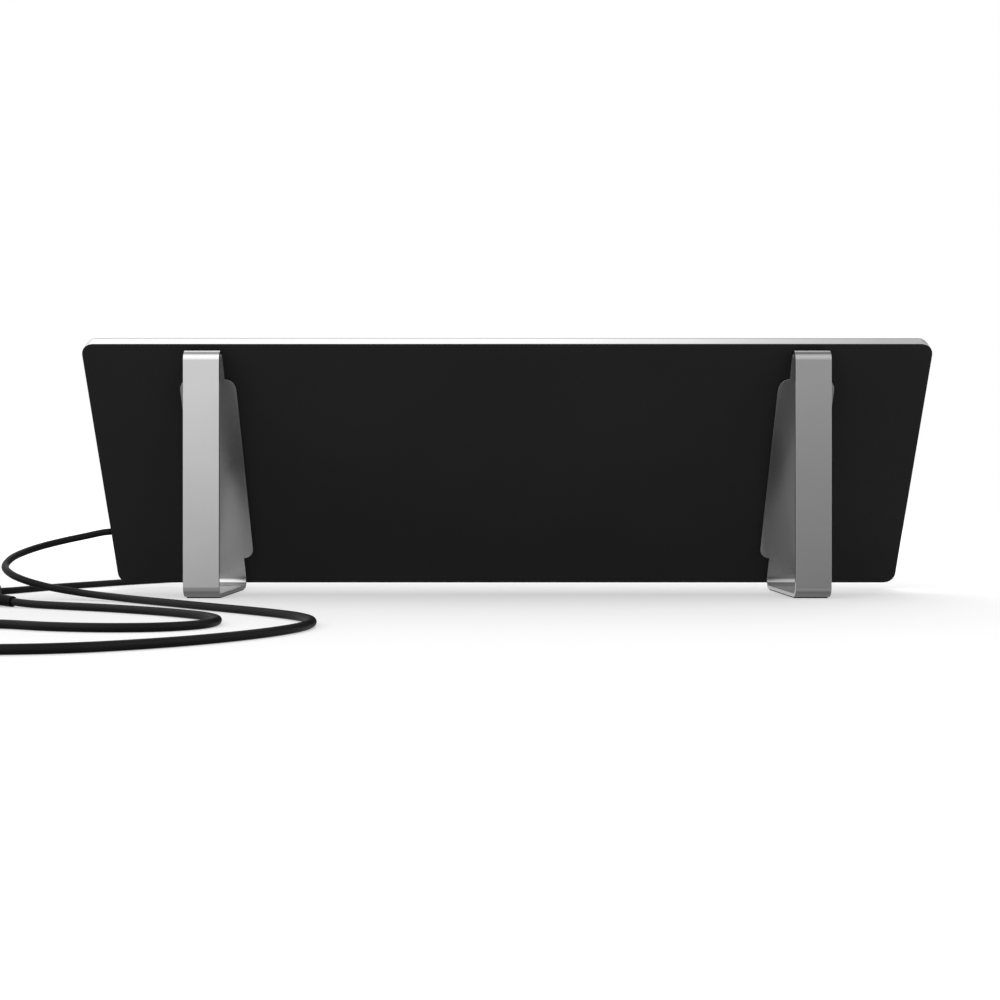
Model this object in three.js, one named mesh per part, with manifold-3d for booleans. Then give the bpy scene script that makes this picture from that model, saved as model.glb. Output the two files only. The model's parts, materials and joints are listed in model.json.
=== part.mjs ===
// Infrared panel heater on two bent strap legs, with an in-line switch and a plug on its cord.
// Millimetres, +Z up. The pads stand on z = 0 and the heater's footprint is centred on the origin.
// The back cover faces -Y, the heating glass faces +Y and up, and the cord leaves at -X.
import * as THREE from "three";
import { mergeVertices } from "three/addons/utils/BufferGeometryUtils.js";
import Module from "manifold-3d";

const wasm = await Module();
wasm.setup();

// Shared working values
const degrees = Math.PI / 180;
const seatGap = 0.3; // between two pieces that rest on each other
const fitGap = 0.3; // around what passes through a hole
const overrun = 2; // how far a cutting shape runs past what it cuts
const rootDepth = 0.5; // how deep a boss, lug or flange starts inside the sheet that carries it
const cornerSteps = 5; // facets of each rounded right angle
const pinSides = 20; // facets of a pin or hole

// Panel: frame, cover and glass
const panelWidth = 600;
const panelHeight = 200;
const panelDepth = 12;
const panelCorner = 8;
const panelLean = 30 * degrees; // from upright
const panelDrop = 4.4; // from the legs' front bottom corner up to the panel's lower edge
const frameWall = 1.5;
const frameBevelInset = 0.3; // the frame's front edge draws in this far
const frameBevelDepth = 2; // over this depth
const ledgeWidth = 8;
const ledgeThickness = 1.2;
const glassThickness = 3;
const glassClearance = 0.3;
const glassArris = 0.4;
const sealThickness = 0.6;
const sealInset = 1;
const coverThickness = 1.2;
const coverChamferShare = 0.25;

// Levels through the panel, from its back face to its front face
const frameBack = coverThickness + seatGap;
const glassBack = panelDepth - glassThickness;
const sealFront = glassBack - seatGap;
const sealBack = sealFront - sealThickness;
const ledgeFront = sealBack - seatGap;
const ledgeBack = ledgeFront - ledgeThickness;

// Cover fixings: lugs and tongues along the top, a screwed flange along the bottom
const lugCount = 3;
const lugSpacing = 200;
const lugWidth = 40;
const lugReach = 3;
const lugThickness = 1.5;
const lugBack = 2.4;
const tongueWidth = 30;
const flangeReach = 4.8;
const flangeEndMargin = 30;
const coverScrewCount = 4;
const coverScrewSpacing = 160;
const coverScrewRadius = 1.25;
const coverScrewHead = 2.3;
const coverScrewHeadDepth = 1;
const coverScrewLength = 5;
const recessWidth = 0.6; // each arm of the cross in a screw's head
const recessDepth = 0.7;
const recessShare = 0.6; // of the head's width

// Heating core: board, foil, conductor track and its carrier
const carrierThickness = 0.5;
const trackThickness = 0.4;
const foilThickness = 0.3;
const coreClearance = 0.5;
const coreCorner = 3;
const trackRuns = 14;
const trackWidth = 6;
const trackMargin = 6;
const trackTabLength = 8;
const trackBendShare = 0.498; // of the pitch, a little under half
const coreMargin = frameWall + ledgeWidth + coreClearance;
const carrierFront = glassBack - seatGap;
const carrierBack = carrierFront - carrierThickness;
const trackFront = carrierBack - seatGap;
const trackBack = trackFront - trackThickness;
const foilFront = trackBack - seatGap;
const foilBack = foilFront - foilThickness;
const boardFront = foilBack - seatGap;

// Cord entry and terminal bay, at the panel's left end
const cordDiameter = 5;
const cordRadius = cordDiameter / 2;
const cordRise = 43.3; // up the slope from the panel's lower edge
const cordLevel = (coverThickness + glassBack) / 2;
const grommetWall = 0.5;
const grommetFlange = 1.2;
const grommetFlangeHalf = 4.6;
const clampWidth = 8;
const clampStart = 7; // from the panel's side to the clamp
const clampFoot = 1.2;
const clampReach = 10;
const clampScrewOffset = 7.2;
const clampScrewRadius = 1.1;
const clampScrewHead = 2.2;
const clampScrewHeadHeight = 1.3;
const clampBossRadius = 2.6;
const clampBossHeight = 1.8;
const sheathLength = 19;
const blockGap = 4; // from the sheath's end to the terminal block
const blockLength = 18;
const blockWidth = 14;
const blockHeight = 6.2;
const blockBoreRadius = 1.5;
const blockPoleSpacing = 6.8;
const blockWellRadius = 1.3;
const blockWellSpacing = 9;
const coreRadius = 1;
const coreSpacing = 2.4;
const coreInsert = 4;
const wireRadius = 0.8;
const wireStepsPerStation = 3;
const bayWidth = 52;
const bayMargin = 5;
const cutoutLength = 18;
const cutoutWidth = 10;
const cutoutThickness = 3.7;
const cutoutPinSpacing = 4.8;
const cutoutCornerShares = [0.1, 0.1, 0.4, 0.4]; // of its width
const pocketClearance = 1;

// Legs: each one strap bent to a closed triangular loop, wider where it carries the panel
const legInset = 86.85; // from each end of the panel to the leg's middle
const strapWidth = 25;
const strapThickness = 2.5;
const bendRadius = 7.5;
const footReach = 111.7; // along the floor, between the loop's sharp corners
const plateWidth = 40;
const plateLength = 150.3;
const plateCorner = 8;
const plateTopMargin = 25.6; // down from the panel's upper edge
const studRadius = 2;
const studLength = 5.9; // in front of the plate
const studMargin = 25;
const nutFlats = 7;
const nutSides = 6;
const nutHeight = 2.2;
const doublerThickness = 1.2;
const doublerWidth = 30;
const doublerMargin = 15;
const doublerCorner = 4;
const padThickness = 0.8;
const padInset = 0.4;
const padCorner = 2;

// In-line switch, placed by the mouth of its sleeve nearest the panel
const switchX = -317.25;
const switchY = -135.31;
const switchHeading = 150.6 * degrees;
const switchLength = 54;
const switchWidth = 22;
const switchHeight = 14;
const switchWall = 1.6;
const switchCorner = 8;
const switchEdge = 2.5;
const switchEdgeSteps = 3;
const partingShare = 0.5;
const pivotDrop = 4; // from the switch's top to the rocker's axle
const axleRadius = 1.5;
const axleReach = 1.9; // out of each side of the rocker
const rockerWidth = 10.6;
const rockerLength = 17.2;
const rockerThrow = 8 * degrees; // each way from level
const rockerEndRise = 5.2;
const rockerMidRise = 4.3;
const noseReach = 4.6;
const noseWidth = 2.4;
const rockerFillet = 0.5;
const rockerMidFillet = 2;
const rockerFilletSteps = 2;
const rockerHeelShare = 0.7; // of its half length, where its underside starts to rise
const cheekThickness = 1.8;
const cheekDepth = 5; // below the cover's inner face
const cheekLength = 8;
const postOffset = 20;
const postSide = 6;
const postRadius = 2.6;
const housingScrewRadius = 1.2;
const housingScrewHead = 2;
const housingScrewHeadHeight = 1.6;
const housingScrewReach = 4; // into the cover's post
const leafThickness = 0.5;
const leafWidth = 5;
const leafReach = 14;
const leafClearance = 0.5; // under the rocker's nose
const contactGap = 0.9;
const contactButton = 0.2; // out of each contact strip
const contactBossLength = 5;
const linkLength = 26;
const linkWidth = 2;
const linkThickness = 0.8;
const linkSide = 7;
const sleeveLength = 22;
const sleeveMouth = 3.5;
const sleeveRoot = 3.9;
const sleeveInsert = 3.1;
const sleeveFloor = 0.7; // of housing under the sleeve
const sleeveMouthLift = 0.05;
const cordInsert = 3; // depth of the cord's seat in a sleeve or plug

// Plug, placed by its sleeve's mouth
const plugX = -216;
const plugY = 169.5;
const plugHeading = 8 * degrees;
const plugLength = 36;
const plugWidth = 34.4;
const plugThickness = 13.7;
const plugRear = 11;
const plugFillet = 2;
const plugFilletSteps = 3;
const plugSideShares = [
  [0, 0],
  [0.28, 0.2],
  [0.6, 0.66],
  [0.86, 1],
  [1, 1],
]; // of its length, and of the way from its rear half width to its full half width
const plugEdge = 3.5;
const plugEdgeSteps = 3;
const pinSpacing = 18.6;
const pinRadius = 2;
const pinSleeveRadius = 1.9;
const pinSleeveLength = 10;
const pinLength = 19;
const pinRoot = 4;
const pinTipSteps = 4;
const plugSleeveLength = 26;
const plugSleeveRoot = 4.4;
const plugSleeveMouth = 3.3;
const plugSleeveInsert = 2;
const plugSleeveRibs = 5;
const ribDepth = 0.5;

// Free cord: both stretches rest on the floor, and the spare length is coiled behind the panel
const routeSide = -300; // the panel's left side, as the routes are drawn
const cordSides = 8;
const leadSteps = 60;
const secondLeadSteps = 17;
const tailSteps = 4;
const coilX = -281.4;
const coilY = 181.1;
const coilPitch = 5.6; // between turns, and between the two layers
const coilOuter = 33.6;
const coilStart = -40 * degrees;
const coilSweep = 1420 * degrees;
const coilTurnSteps = 24;
const coilSides = 6;
const coilProbes = 96; // points per turn for measuring the gap
const tieThickness = 0.8;
const tieWidth = 8;
const tieClearance = 0.8;
const tieAngle = 150 * degrees;
const tieTail = 7;
const tieCorner = 2.5;
const tieCornerSteps = 3;

// Finishes
const finishes = {
  satinMetal: { color: 0xc3c4c6, roughness: 0.38, metalness: 1 },
  blackPaint: { color: 0x1f1f20, roughness: 0.62, metalness: 0 },
  whiteGlass: { color: 0xf2f3f3, roughness: 0.08, metalness: 0 },
  steel: { color: 0xa9abad, roughness: 0.4, metalness: 1 },
  brass: { color: 0xc9a35a, roughness: 0.35, metalness: 1 },
  copper: { color: 0xb87350, roughness: 0.4, metalness: 1 },
  foil: { color: 0xdfe1e3, roughness: 0.2, metalness: 1 },
  carrier: { color: 0xd8cfae, roughness: 0.7, metalness: 0 },
  board: { color: 0xe4e0d4, roughness: 0.95, metalness: 0 },
  silicone: { color: 0x6e6f70, roughness: 0.8, metalness: 0 },
  ceramic: { color: 0xeeece4, roughness: 0.5, metalness: 0 },
  blackPlastic: { color: 0x161616, roughness: 0.5, metalness: 0 },
  blackRubber: { color: 0x131313, roughness: 0.8, metalness: 0 },
  cord: { color: 0x1c1c1c, roughness: 0.6, metalness: 0 },
  blueWire: { color: 0x2c5fa8, roughness: 0.5, metalness: 0 },
  brownWire: { color: 0x6b4429, roughness: 0.5, metalness: 0 },
};

// Outlines

const point = (x, y) => new THREE.Vector2(x, y);

// The outline through some corners, taken anticlockwise, each rounded to its own radius.
function filleted(corners, radii, steps = cornerSteps) {
  return corners.flatMap((corner, i) => {
    const radius = Array.isArray(radii) ? radii[i] : radii;
    if (radius === 0) return [corner.clone()];
    const back = corners.at(i - 1).clone().sub(corner).normalize();
    const on = corners[(i + 1) % corners.length].clone().sub(corner).normalize();
    const half = Math.acos(back.dot(on)) / 2;
    const side = Math.sign(-back.cross(on));
    const middle = back.clone().add(on).normalize();
    const centre = corner.clone().addScaledVector(middle, radius / Math.sin(half));
    const first = corner.clone().addScaledVector(back, radius / Math.tan(half)).sub(centre);
    const turn = side * (Math.PI - 2 * half);
    return Array.from({ length: steps + 1 }, (_, k) =>
      first.clone().rotateAround(point(0, 0), (turn * k) / steps).add(centre),
    );
  });
}

function rectangle(left, bottom, right, top, radii = 0, steps = cornerSteps) {
  const corners = [point(left, bottom), point(right, bottom), point(right, top), point(left, top)];
  return filleted(corners, radii, steps);
}

function disc(radius, x = 0, y = 0, sides = pinSides) {
  return Array.from({ length: sides }, (_, k) => {
    const angle = (2 * Math.PI * k) / sides;
    return point(x + radius * Math.cos(angle), y + radius * Math.sin(angle));
  });
}

// The panel's own outline, drawn in by a margin.
function panelOutline(inset = 0) {
  const corner = Math.max(panelCorner - inset, coreCorner);
  const half = panelWidth / 2 - inset;
  return rectangle(-half, inset, half, panelHeight - inset, corner);
}

// Solids

function extrude(outline, holes, depth) {
  const shape = new THREE.Shape(outline);
  shape.holes = holes.map((hole) => new THREE.Path(hole));
  return new THREE.ExtrudeGeometry(shape, { depth, bevelEnabled: false });
}

// Outline in x and height, thickness along y.
function slab(outline, back, front, holes = []) {
  return extrude(outline, holes, front - back)
    .rotateX(Math.PI / 2)
    .translate(0, front, 0);
}

// Outline in x and y, thickness along z.
function upright(outline, bottom, top, holes = []) {
  return extrude(outline, holes, top - bottom).translate(0, 0, bottom);
}

// Outline in y and z, thickness along x.
const turnToX = new THREE.Matrix4().set(0, 0, 1, 0, 1, 0, 0, 0, 0, 1, 0, 0, 0, 0, 0, 1);
function across(outline, from, to, holes = []) {
  return extrude(outline, holes, to - from)
    .applyMatrix4(turnToX)
    .translate(from, 0, 0);
}

// A closed body through rings of equal counts, each an outline at its own height.
function loft(rings) {
  const count = rings[0].outline.length;
  const places = rings.flatMap(({ outline, level }) => outline.flatMap((p) => [p.x, p.y, level]));
  const faces = [];
  for (let ring = 0; ring + 1 < rings.length; ring += 1) {
    for (let i = 0; i < count; i += 1) {
      const a = ring * count + i;
      const b = ring * count + ((i + 1) % count);
      faces.push(a, b, b + count, a, b + count, a + count);
    }
  }
  const top = (rings.length - 1) * count;
  for (const [a, b, c] of THREE.ShapeUtils.triangulateShape(rings[0].outline, [])) {
    faces.push(a, c, b, top + a, top + b, top + c);
  }
  const geometry = new THREE.BufferGeometry();
  geometry.setAttribute("position", new THREE.Float32BufferAttribute(places, 3));
  geometry.setIndex(faces);
  return geometry;
}

// The same through the panel, from back to front.
function panelLoft(rings) {
  const turned = rings.map(({ outline, level }) => ({ outline, level: -level })).reverse();
  return loft(turned).rotateX(Math.PI / 2);
}

function lathe(profile, sides = pinSides) {
  return new THREE.LatheGeometry(profile, sides).rotateZ(-Math.PI / 2);
}

function toSolid(geometry) {
  const bare = geometry.index ? geometry.toNonIndexed() : geometry.clone();
  bare.deleteAttribute("normal");
  bare.deleteAttribute("uv");
  const merged = mergeVertices(bare);
  const mesh = new wasm.Mesh({
    numProp: 3,
    vertProperties: merged.attributes.position.array,
    triVerts: Uint32Array.from(merged.index.array),
  });
  return new wasm.Manifold(mesh);
}

function toGeometry(solid) {
  const mesh = solid.getMesh();
  const geometry = new THREE.BufferGeometry();
  geometry.setAttribute("position", new THREE.BufferAttribute(mesh.vertProperties, 3));
  geometry.setIndex(new THREE.BufferAttribute(mesh.triVerts, 1));
  return geometry;
}

function cut(base, ...tools) {
  return toGeometry(tools.reduce((left, tool) => left.subtract(toSolid(tool)), toSolid(base)));
}

function fuse(base, ...others) {
  return toGeometry(others.reduce((whole, other) => whole.add(toSolid(other)), toSolid(base)));
}

function common(base, other) {
  return toGeometry(toSolid(base).intersect(toSolid(other)));
}

function tube(points, radius, steps, sides = cordSides) {
  const path = new THREE.CatmullRomCurve3(points, false, "centripetal");
  const shape = new THREE.Shape(disc(radius, 0, 0, sides));
  return new THREE.ExtrudeGeometry(shape, { steps, extrudePath: path, bevelEnabled: false });
}

function addPiece(group, name, geometry, finish) {
  const bare = geometry.index ? geometry.toNonIndexed() : geometry;
  bare.computeVertexNormals();
  const mesh = new THREE.Mesh(bare, new THREE.MeshStandardMaterial(finishes[finish]));
  mesh.name = name;
  group.add(mesh);
  return mesh;
}

// Evenly spaced places, centred on zero.
function places(count, spacing) {
  return Array.from({ length: count }, (_, k) => (k - (count - 1) / 2) * spacing);
}

// Panel frame, cover and glass

const panel = new THREE.Group();
const panelLeft = -panelWidth / 2;
const lugXs = places(lugCount, lugSpacing);
const coverScrewXs = places(coverScrewCount, coverScrewSpacing);
const flangeLevel = coverThickness + flangeReach / 2;
const flangeBottom = frameWall + seatGap;
const flangeTop = flangeBottom + coverThickness;

function box(left, back, bottom, right, front, top) {
  return slab(rectangle(left, bottom, right, top), back, front);
}

function centredBox(x, width, back, front, bottom, top) {
  return box(x - width / 2, back, bottom, x + width / 2, front, top);
}

// A screw or its hole, from the lower edge upwards, with the given extra room all round.
function coverScrew(x, room, length) {
  const below = room > 0 ? overrun : 0;
  const profile = [
    point(0, -below),
    point(coverScrewHead + room, -below),
    point(coverScrewHead + room, 0),
    point(coverScrewRadius + room, coverScrewHeadDepth),
    point(coverScrewRadius + room, length),
    point(0, length),
  ];
  if (below === 0) profile.splice(1, 1);
  return new THREE.LatheGeometry(profile, pinSides)
    .rotateX(Math.PI / 2)
    .translate(x, flangeLevel, 0);
}

// The cross in a screw's head: two crossed bars about the middle, from one height to another.
function crossRecess(x, y, headRadius, from, to) {
  const long = headRadius * recessShare;
  const short = recessWidth / 2;
  return [
    upright(rectangle(x - long, y - short, x + long, y + short), from, to),
    upright(rectangle(x - short, y - long, x + short, y + long), from, to),
  ];
}

function recessedCoverScrew(x) {
  const arms = crossRecess(x, flangeLevel, coverScrewHead, -overrun, recessDepth);
  return cut(coverScrew(x, 0, coverScrewLength), ...arms);
}

function panelFrame() {
  const body = panelLoft([
    { outline: panelOutline(), level: frameBack },
    { outline: panelOutline(), level: panelDepth - frameBevelDepth },
    { outline: panelOutline(frameBevelInset), level: panelDepth },
  ]);
  const inner = panelOutline(frameWall);
  const window = panelOutline(frameWall + ledgeWidth);
  const lugTop = panelHeight - frameWall;
  const lugs = lugXs.map((x) =>
    centredBox(x, lugWidth, lugBack, lugBack + lugThickness, lugTop - lugReach, lugTop + rootDepth),
  );
  const entry = grommetOutline(fitGap, frameBack - overrun);
  const ledgeCut = box(
    panelLeft + frameWall,
    ledgeBack - overrun,
    cordRise - grommetFlangeHalf - fitGap,
    panelLeft + frameWall + ledgeWidth + overrun,
    ledgeFront + overrun,
    cordRise + grommetFlangeHalf + fitGap,
  );
  const ring = cut(
    body,
    slab(inner, frameBack - overrun, ledgeBack),
    slab(window, ledgeBack - overrun, ledgeFront + overrun),
    slab(inner, ledgeFront, panelDepth + overrun),
    ledgeCut,
    across(entry, panelLeft - overrun, panelLeft + frameWall + rootDepth),
    ...coverScrewXs.map((x) => coverScrew(x, fitGap, flangeTop)),
  );
  return fuse(ring, ...lugs);
}

function backCover() {
  const chamfer = coverThickness * coverChamferShare;
  const sheet = panelLoft([
    { outline: panelOutline(chamfer), level: 0 },
    { outline: panelOutline(), level: chamfer },
    { outline: panelOutline(), level: coverThickness },
  ]);
  const root = coverThickness - rootDepth;
  const half = panelWidth / 2 - flangeEndMargin;
  const flange = box(-half, root, flangeBottom, half, coverThickness + flangeReach, flangeTop);
  const tongueBack = lugBack + lugThickness + seatGap;
  const tongueFront = tongueBack + coverThickness;
  const riserTop = panelHeight - frameWall - lugReach - seatGap;
  const riserBottom = riserTop - coverThickness;
  const tipTop = panelHeight - frameWall - 2 * seatGap;
  const tongues = lugXs.flatMap((x) => [
    centredBox(x, tongueWidth, root, tongueFront, riserBottom, riserTop),
    centredBox(x, tongueWidth, tongueBack, tongueFront, riserBottom + rootDepth, tipTop),
  ]);
  const bosses = clampScrewPlaces.map((rise) =>
    slab(disc(clampBossRadius, clampX, rise), root, clampBossTop),
  );
  const bossHoles = clampScrewPlaces.map((rise) =>
    slab(disc(clampScrewRadius + fitGap, clampX, rise), coverThickness, clampBossTop + overrun),
  );
  const studHoles = legXs.flatMap((x) =>
    studPlaces.map((rise) => slab(disc(studRadius + fitGap, x, rise), -overrun, coverThickness + overrun)),
  );
  const screwHoles = coverScrewXs.map((x) => coverScrew(x, fitGap, flangeTop + overrun));
  return cut(
    fuse(sheet, flange, ...tongues, ...bosses),
    ...bossHoles,
    ...studHoles,
    ...screwHoles,
  );
}

function frontGlass() {
  const inset = frameWall + glassClearance;
  return panelLoft([
    { outline: panelOutline(inset + glassArris), level: glassBack },
    { outline: panelOutline(inset), level: glassBack + glassArris },
    { outline: panelOutline(inset), level: panelDepth - glassArris },
    { outline: panelOutline(inset + glassArris), level: panelDepth },
  ]);
}

function glassSeal() {
  const outer = panelOutline(frameWall + sealInset);
  const inner = panelOutline(frameWall + ledgeWidth - sealInset);
  const cordCut = box(
    panelLeft,
    sealBack - overrun,
    cordRise - grommetFlangeHalf - fitGap,
    panelLeft + frameWall + ledgeWidth,
    sealFront + overrun,
    cordRise + grommetFlangeHalf + fitGap,
  );
  return cut(slab(outer, sealBack, sealFront, [inner]), cordCut);
}

// Cord entry

const grommetRadius = cordRadius + fitGap + grommetWall;

// The grommet's slot: round at the front, open to the cover at the back. Points are level and rise.
function grommetOutline(room, back) {
  const radius = grommetRadius + room;
  const front = Array.from({ length: 2 * cornerSteps + 1 }, (_, k) => {
    const angle = -Math.PI / 2 + (Math.PI * k) / (2 * cornerSteps);
    return point(cordLevel + radius * Math.cos(angle), cordRise + radius * Math.sin(angle));
  });
  return [point(back, cordRise - radius), ...front, point(back, cordRise + radius)];
}

const flangeLeft = panelLeft + frameWall + seatGap;
const clampLeft = panelLeft + clampStart;
const clampX = clampLeft + clampWidth / 2;
const clampScrewPlaces = [cordRise - clampScrewOffset, cordRise + clampScrewOffset];
const clampBossTop = coverThickness + clampBossHeight;
const clampBack = clampBossTop + seatGap;
const clampFootFront = clampBack + clampFoot;

function cordGrommet() {
  const body = across(grommetOutline(0, frameBack), panelLeft, flangeLeft + rootDepth);
  const flange = across(
    filleted(
      [
        point(frameBack, cordRise - grommetFlangeHalf),
        point(sealFront, cordRise - grommetFlangeHalf),
        point(sealFront, cordRise + grommetFlangeHalf),
        point(frameBack, cordRise + grommetFlangeHalf),
      ],
      [0, cordRadius, cordRadius, 0],
    ),
    flangeLeft,
    flangeLeft + grommetFlange,
  );
  const bore = across(
    disc(cordRadius + fitGap, cordLevel, cordRise),
    panelLeft - overrun,
    flangeLeft + grommetFlange + overrun,
  );
  return cut(fuse(body, flange), bore);
}

function cordClamp() {
  const inner = cordRadius + fitGap;
  const outer = sealFront - cordLevel;
  const arc = (radius, from, to) =>
    Array.from({ length: 2 * cornerSteps + 1 }, (_, k) => {
      const angle = from + ((to - from) * k) / (2 * cornerSteps);
      return point(cordLevel + radius * Math.cos(angle), cordRise + radius * Math.sin(angle));
    });
  const outline = [
    point(clampBack, cordRise - clampReach),
    point(clampFootFront, cordRise - clampReach),
    point(clampFootFront, cordRise - outer),
    ...arc(outer, -Math.PI / 2, Math.PI / 2),
    point(clampFootFront, cordRise + outer),
    point(clampFootFront, cordRise + clampReach),
    point(clampBack, cordRise + clampReach),
    point(clampBack, cordRise + inner),
    ...arc(inner, Math.PI / 2, -Math.PI / 2),
    point(clampBack, cordRise - inner),
  ];
  const holes = clampScrewPlaces.map((rise) =>
    slab(disc(clampScrewRadius + fitGap, clampX, rise), clampBack - overrun, clampFootFront + overrun),
  );
  return cut(across(outline, clampLeft, clampLeft + clampWidth), ...holes);
}

function clampScrew(rise) {
  const headBack = clampFootFront + seatGap;
  const headFront = headBack + clampScrewHeadHeight;
  const head = slab(disc(clampScrewHead, clampX, rise), headBack, headFront);
  const shank = slab(disc(clampScrewRadius, clampX, rise), frameBack, headBack + rootDepth);
  const arms = crossRecess(clampX, -rise, clampScrewHead, headFront - recessDepth, headFront + overrun);
  return cut(fuse(head, shank), ...arms.map((arm) => arm.rotateX(-Math.PI / 2)));
}

// Terminal bay

const sheathEnd = panelLeft + sheathLength;
const blockLeft = sheathEnd + blockGap;
const blockX = blockLeft + blockLength / 2;
const blockRight = blockLeft + blockLength;
const boreLevel = frameBack + blockHeight / 2;
const bayRight = panelLeft + coreMargin + bayWidth;
const trackBottom = coreMargin + trackMargin;
const trackPitch = (panelHeight - 2 * trackBottom) / (trackRuns - 1);
const runRise = (run) => trackBottom + run * trackPitch;
const bayBottom = Math.min(runRise(1), cordRise - clampReach) - bayMargin;
const bayTop = Math.max(runRise(3), cordRise + clampReach) + bayMargin;
const tabEnd = bayRight - trackTabLength;
const tabX = tabEnd + trackWidth / 2;
const cutoutBottom = bayTop + 2 * seatGap;
const cutoutX = tabEnd - cutoutWidth / 2;
const cutoutFront = boardFront;
const cutoutLevel = cutoutFront - cutoutThickness / 2;

function terminalBlock() {
  const low = cordRise - blockWidth / 2;
  const block = box(blockLeft, frameBack, low, blockRight, frameBack + blockHeight, low + blockWidth);
  const poles = places(2, blockPoleSpacing).map((side) => cordRise + side);
  const bores = poles.map((rise) =>
    across(disc(blockBoreRadius, boreLevel, rise), blockLeft - overrun, blockRight + overrun),
  );
  const wells = poles.flatMap((rise) =>
    places(2, blockWellSpacing).map((x) =>
      slab(disc(blockWellRadius, blockX + x, rise), boreLevel, frameBack + blockHeight + overrun),
    ),
  );
  return cut(block, ...bores, ...wells);
}

// A wire through hand-set stations, each given as x, level and rise.
function wire(stations, radius) {
  const points = stations.map(([x, level, rise]) => new THREE.Vector3(x, level, rise));
  return tube(points, radius, wireStepsPerStation * stations.length, cordSides);
}

function sheathCore(side) {
  const start = cordRise + (side * coreSpacing) / 2;
  const end = cordRise + (side * blockPoleSpacing) / 2;
  const from = sheathEnd + seatGap;
  return wire(
    [
      [from, cordLevel, start],
      [from + blockGap / 4, cordLevel, start],
      [blockLeft - blockGap / 4, boreLevel, end],
      [blockLeft + coreInsert, boreLevel, end],
    ],
    coreRadius,
  );
}

const poleRise = (side) => cordRise + (side * blockPoleSpacing) / 2;
const wireStart = blockRight - coreInsert;

function neutralWire() {
  const rise = runRise(2);
  return wire(
    [
      [wireStart, boreLevel, poleRise(-1)],
      [blockRight, boreLevel, poleRise(-1)],
      [(blockRight + tabX) / 2, boreLevel, (poleRise(-1) + rise) / 2],
      [tabX - wireRadius, boreLevel + wireRadius, rise],
      [tabX, trackBack - 2 * wireRadius, rise],
      [tabX, trackBack - seatGap, rise],
    ],
    wireRadius,
  );
}

const cutoutPin = (side) => cutoutX + (side * cutoutPinSpacing) / 2;
const pinRise = cutoutBottom - seatGap;

function liveWire() {
  const x = cutoutPin(-1);
  return wire(
    [
      [wireStart, boreLevel, poleRise(1)],
      [blockRight, boreLevel, poleRise(1)],
      [(blockRight + x) / 2, boreLevel, poleRise(1) + wireRadius],
      [x, boreLevel, poleRise(1) + 4 * wireRadius],
      [x, cutoutLevel, pinRise - 2 * wireRadius],
      [x, cutoutLevel, pinRise],
    ],
    wireRadius,
  );
}

function linkWire() {
  const x = cutoutPin(1);
  const rise = runRise(3);
  return wire(
    [
      [x, cutoutLevel, pinRise],
      [x, cutoutLevel, pinRise - 2 * wireRadius],
      [(x + tabX) / 2, cutoutLevel, (pinRise - 2 * wireRadius + rise) / 2],
      [tabX - wireRadius / 2, trackBack - 3 * wireRadius, rise],
      [tabX, trackBack - 2 * wireRadius, rise],
      [tabX, trackBack - seatGap, rise],
    ],
    wireRadius,
  );
}

function thermalCutout() {
  const left = cutoutX - cutoutWidth / 2;
  const outline = rectangle(
    left,
    cutoutBottom,
    left + cutoutWidth,
    cutoutBottom + cutoutLength,
    cutoutCornerShares.map((share) => share * cutoutWidth),
  );
  return slab(outline, cutoutFront - cutoutThickness, cutoutFront);
}

// Heating core

function coreSheet(back, front) {
  const half = panelWidth / 2 - coreMargin;
  return slab(rectangle(-half, coreMargin, half, panelHeight - coreMargin, coreCorner), back, front);
}

function bayCut(back, front) {
  return box(panelLeft, back - overrun, bayBottom, bayRight, front + overrun, bayTop);
}

function insulationBoard() {
  const pocketDepth = frameBack + doublerThickness + seatGap;
  const nutDepth = frameBack + doublerThickness + nutHeight + 3 * seatGap + studRadius / 4;
  const legPockets = legXs.flatMap((x) => [
    slab(
      doublerOutline(x, pocketClearance),
      frameBack - overrun,
      pocketDepth,
    ),
    ...studPlaces.map((rise) =>
      slab(disc(nutCorner + pocketClearance, x, rise), frameBack - overrun, nutDepth),
    ),
  ]);
  const cutoutPocket = box(
    cutoutX - cutoutWidth / 2 - pocketClearance,
    frameBack - overrun,
    bayTop - overrun,
    cutoutX + cutoutWidth / 2 + pocketClearance,
    boardFront + overrun,
    cutoutBottom + cutoutLength + pocketClearance,
  );
  return cut(
    coreSheet(frameBack, boardFront),
    bayCut(frameBack, boardFront),
    cutoutPocket,
    ...legPockets,
  );
}

function reflectorFoil() {
  return cut(coreSheet(foilBack, foilFront), bayCut(foilBack, foilFront));
}

function elementCarrier() {
  const clampCut = box(
    panelLeft,
    carrierBack - overrun,
    cordRise - grommetFlangeHalf - pocketClearance,
    clampLeft + clampWidth + pocketClearance,
    carrierFront + overrun,
    cordRise + grommetFlangeHalf + pocketClearance,
  );
  return cut(coreSheet(carrierBack, carrierFront), clampCut);
}

// The conductor's centre line: from its lower tab right, down and back along the two lowest runs,
// up the right-hand side, and then down through the other runs to its upper tab.
function trackLine() {
  const left = panelLeft + trackBottom;
  const right = -left - trackPitch;
  const riser = -left;
  const bayLeft = bayRight + trackWidth;
  const line = [
    point(tabEnd, runRise(2)),
    point(right, runRise(2)),
    point(right, runRise(1)),
    point(bayLeft, runRise(1)),
    point(bayLeft, runRise(0)),
    point(riser, runRise(0)),
    point(riser, runRise(trackRuns - 1)),
  ];
  for (let run = trackRuns - 1; run > 3; run -= 2) {
    line.push(point(left, runRise(run)), point(left, runRise(run - 1)));
    line.push(point(right, runRise(run - 1)), point(right, runRise(run - 2)));
  }
  line.push(point(tabEnd, runRise(3)));
  return line;
}

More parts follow.
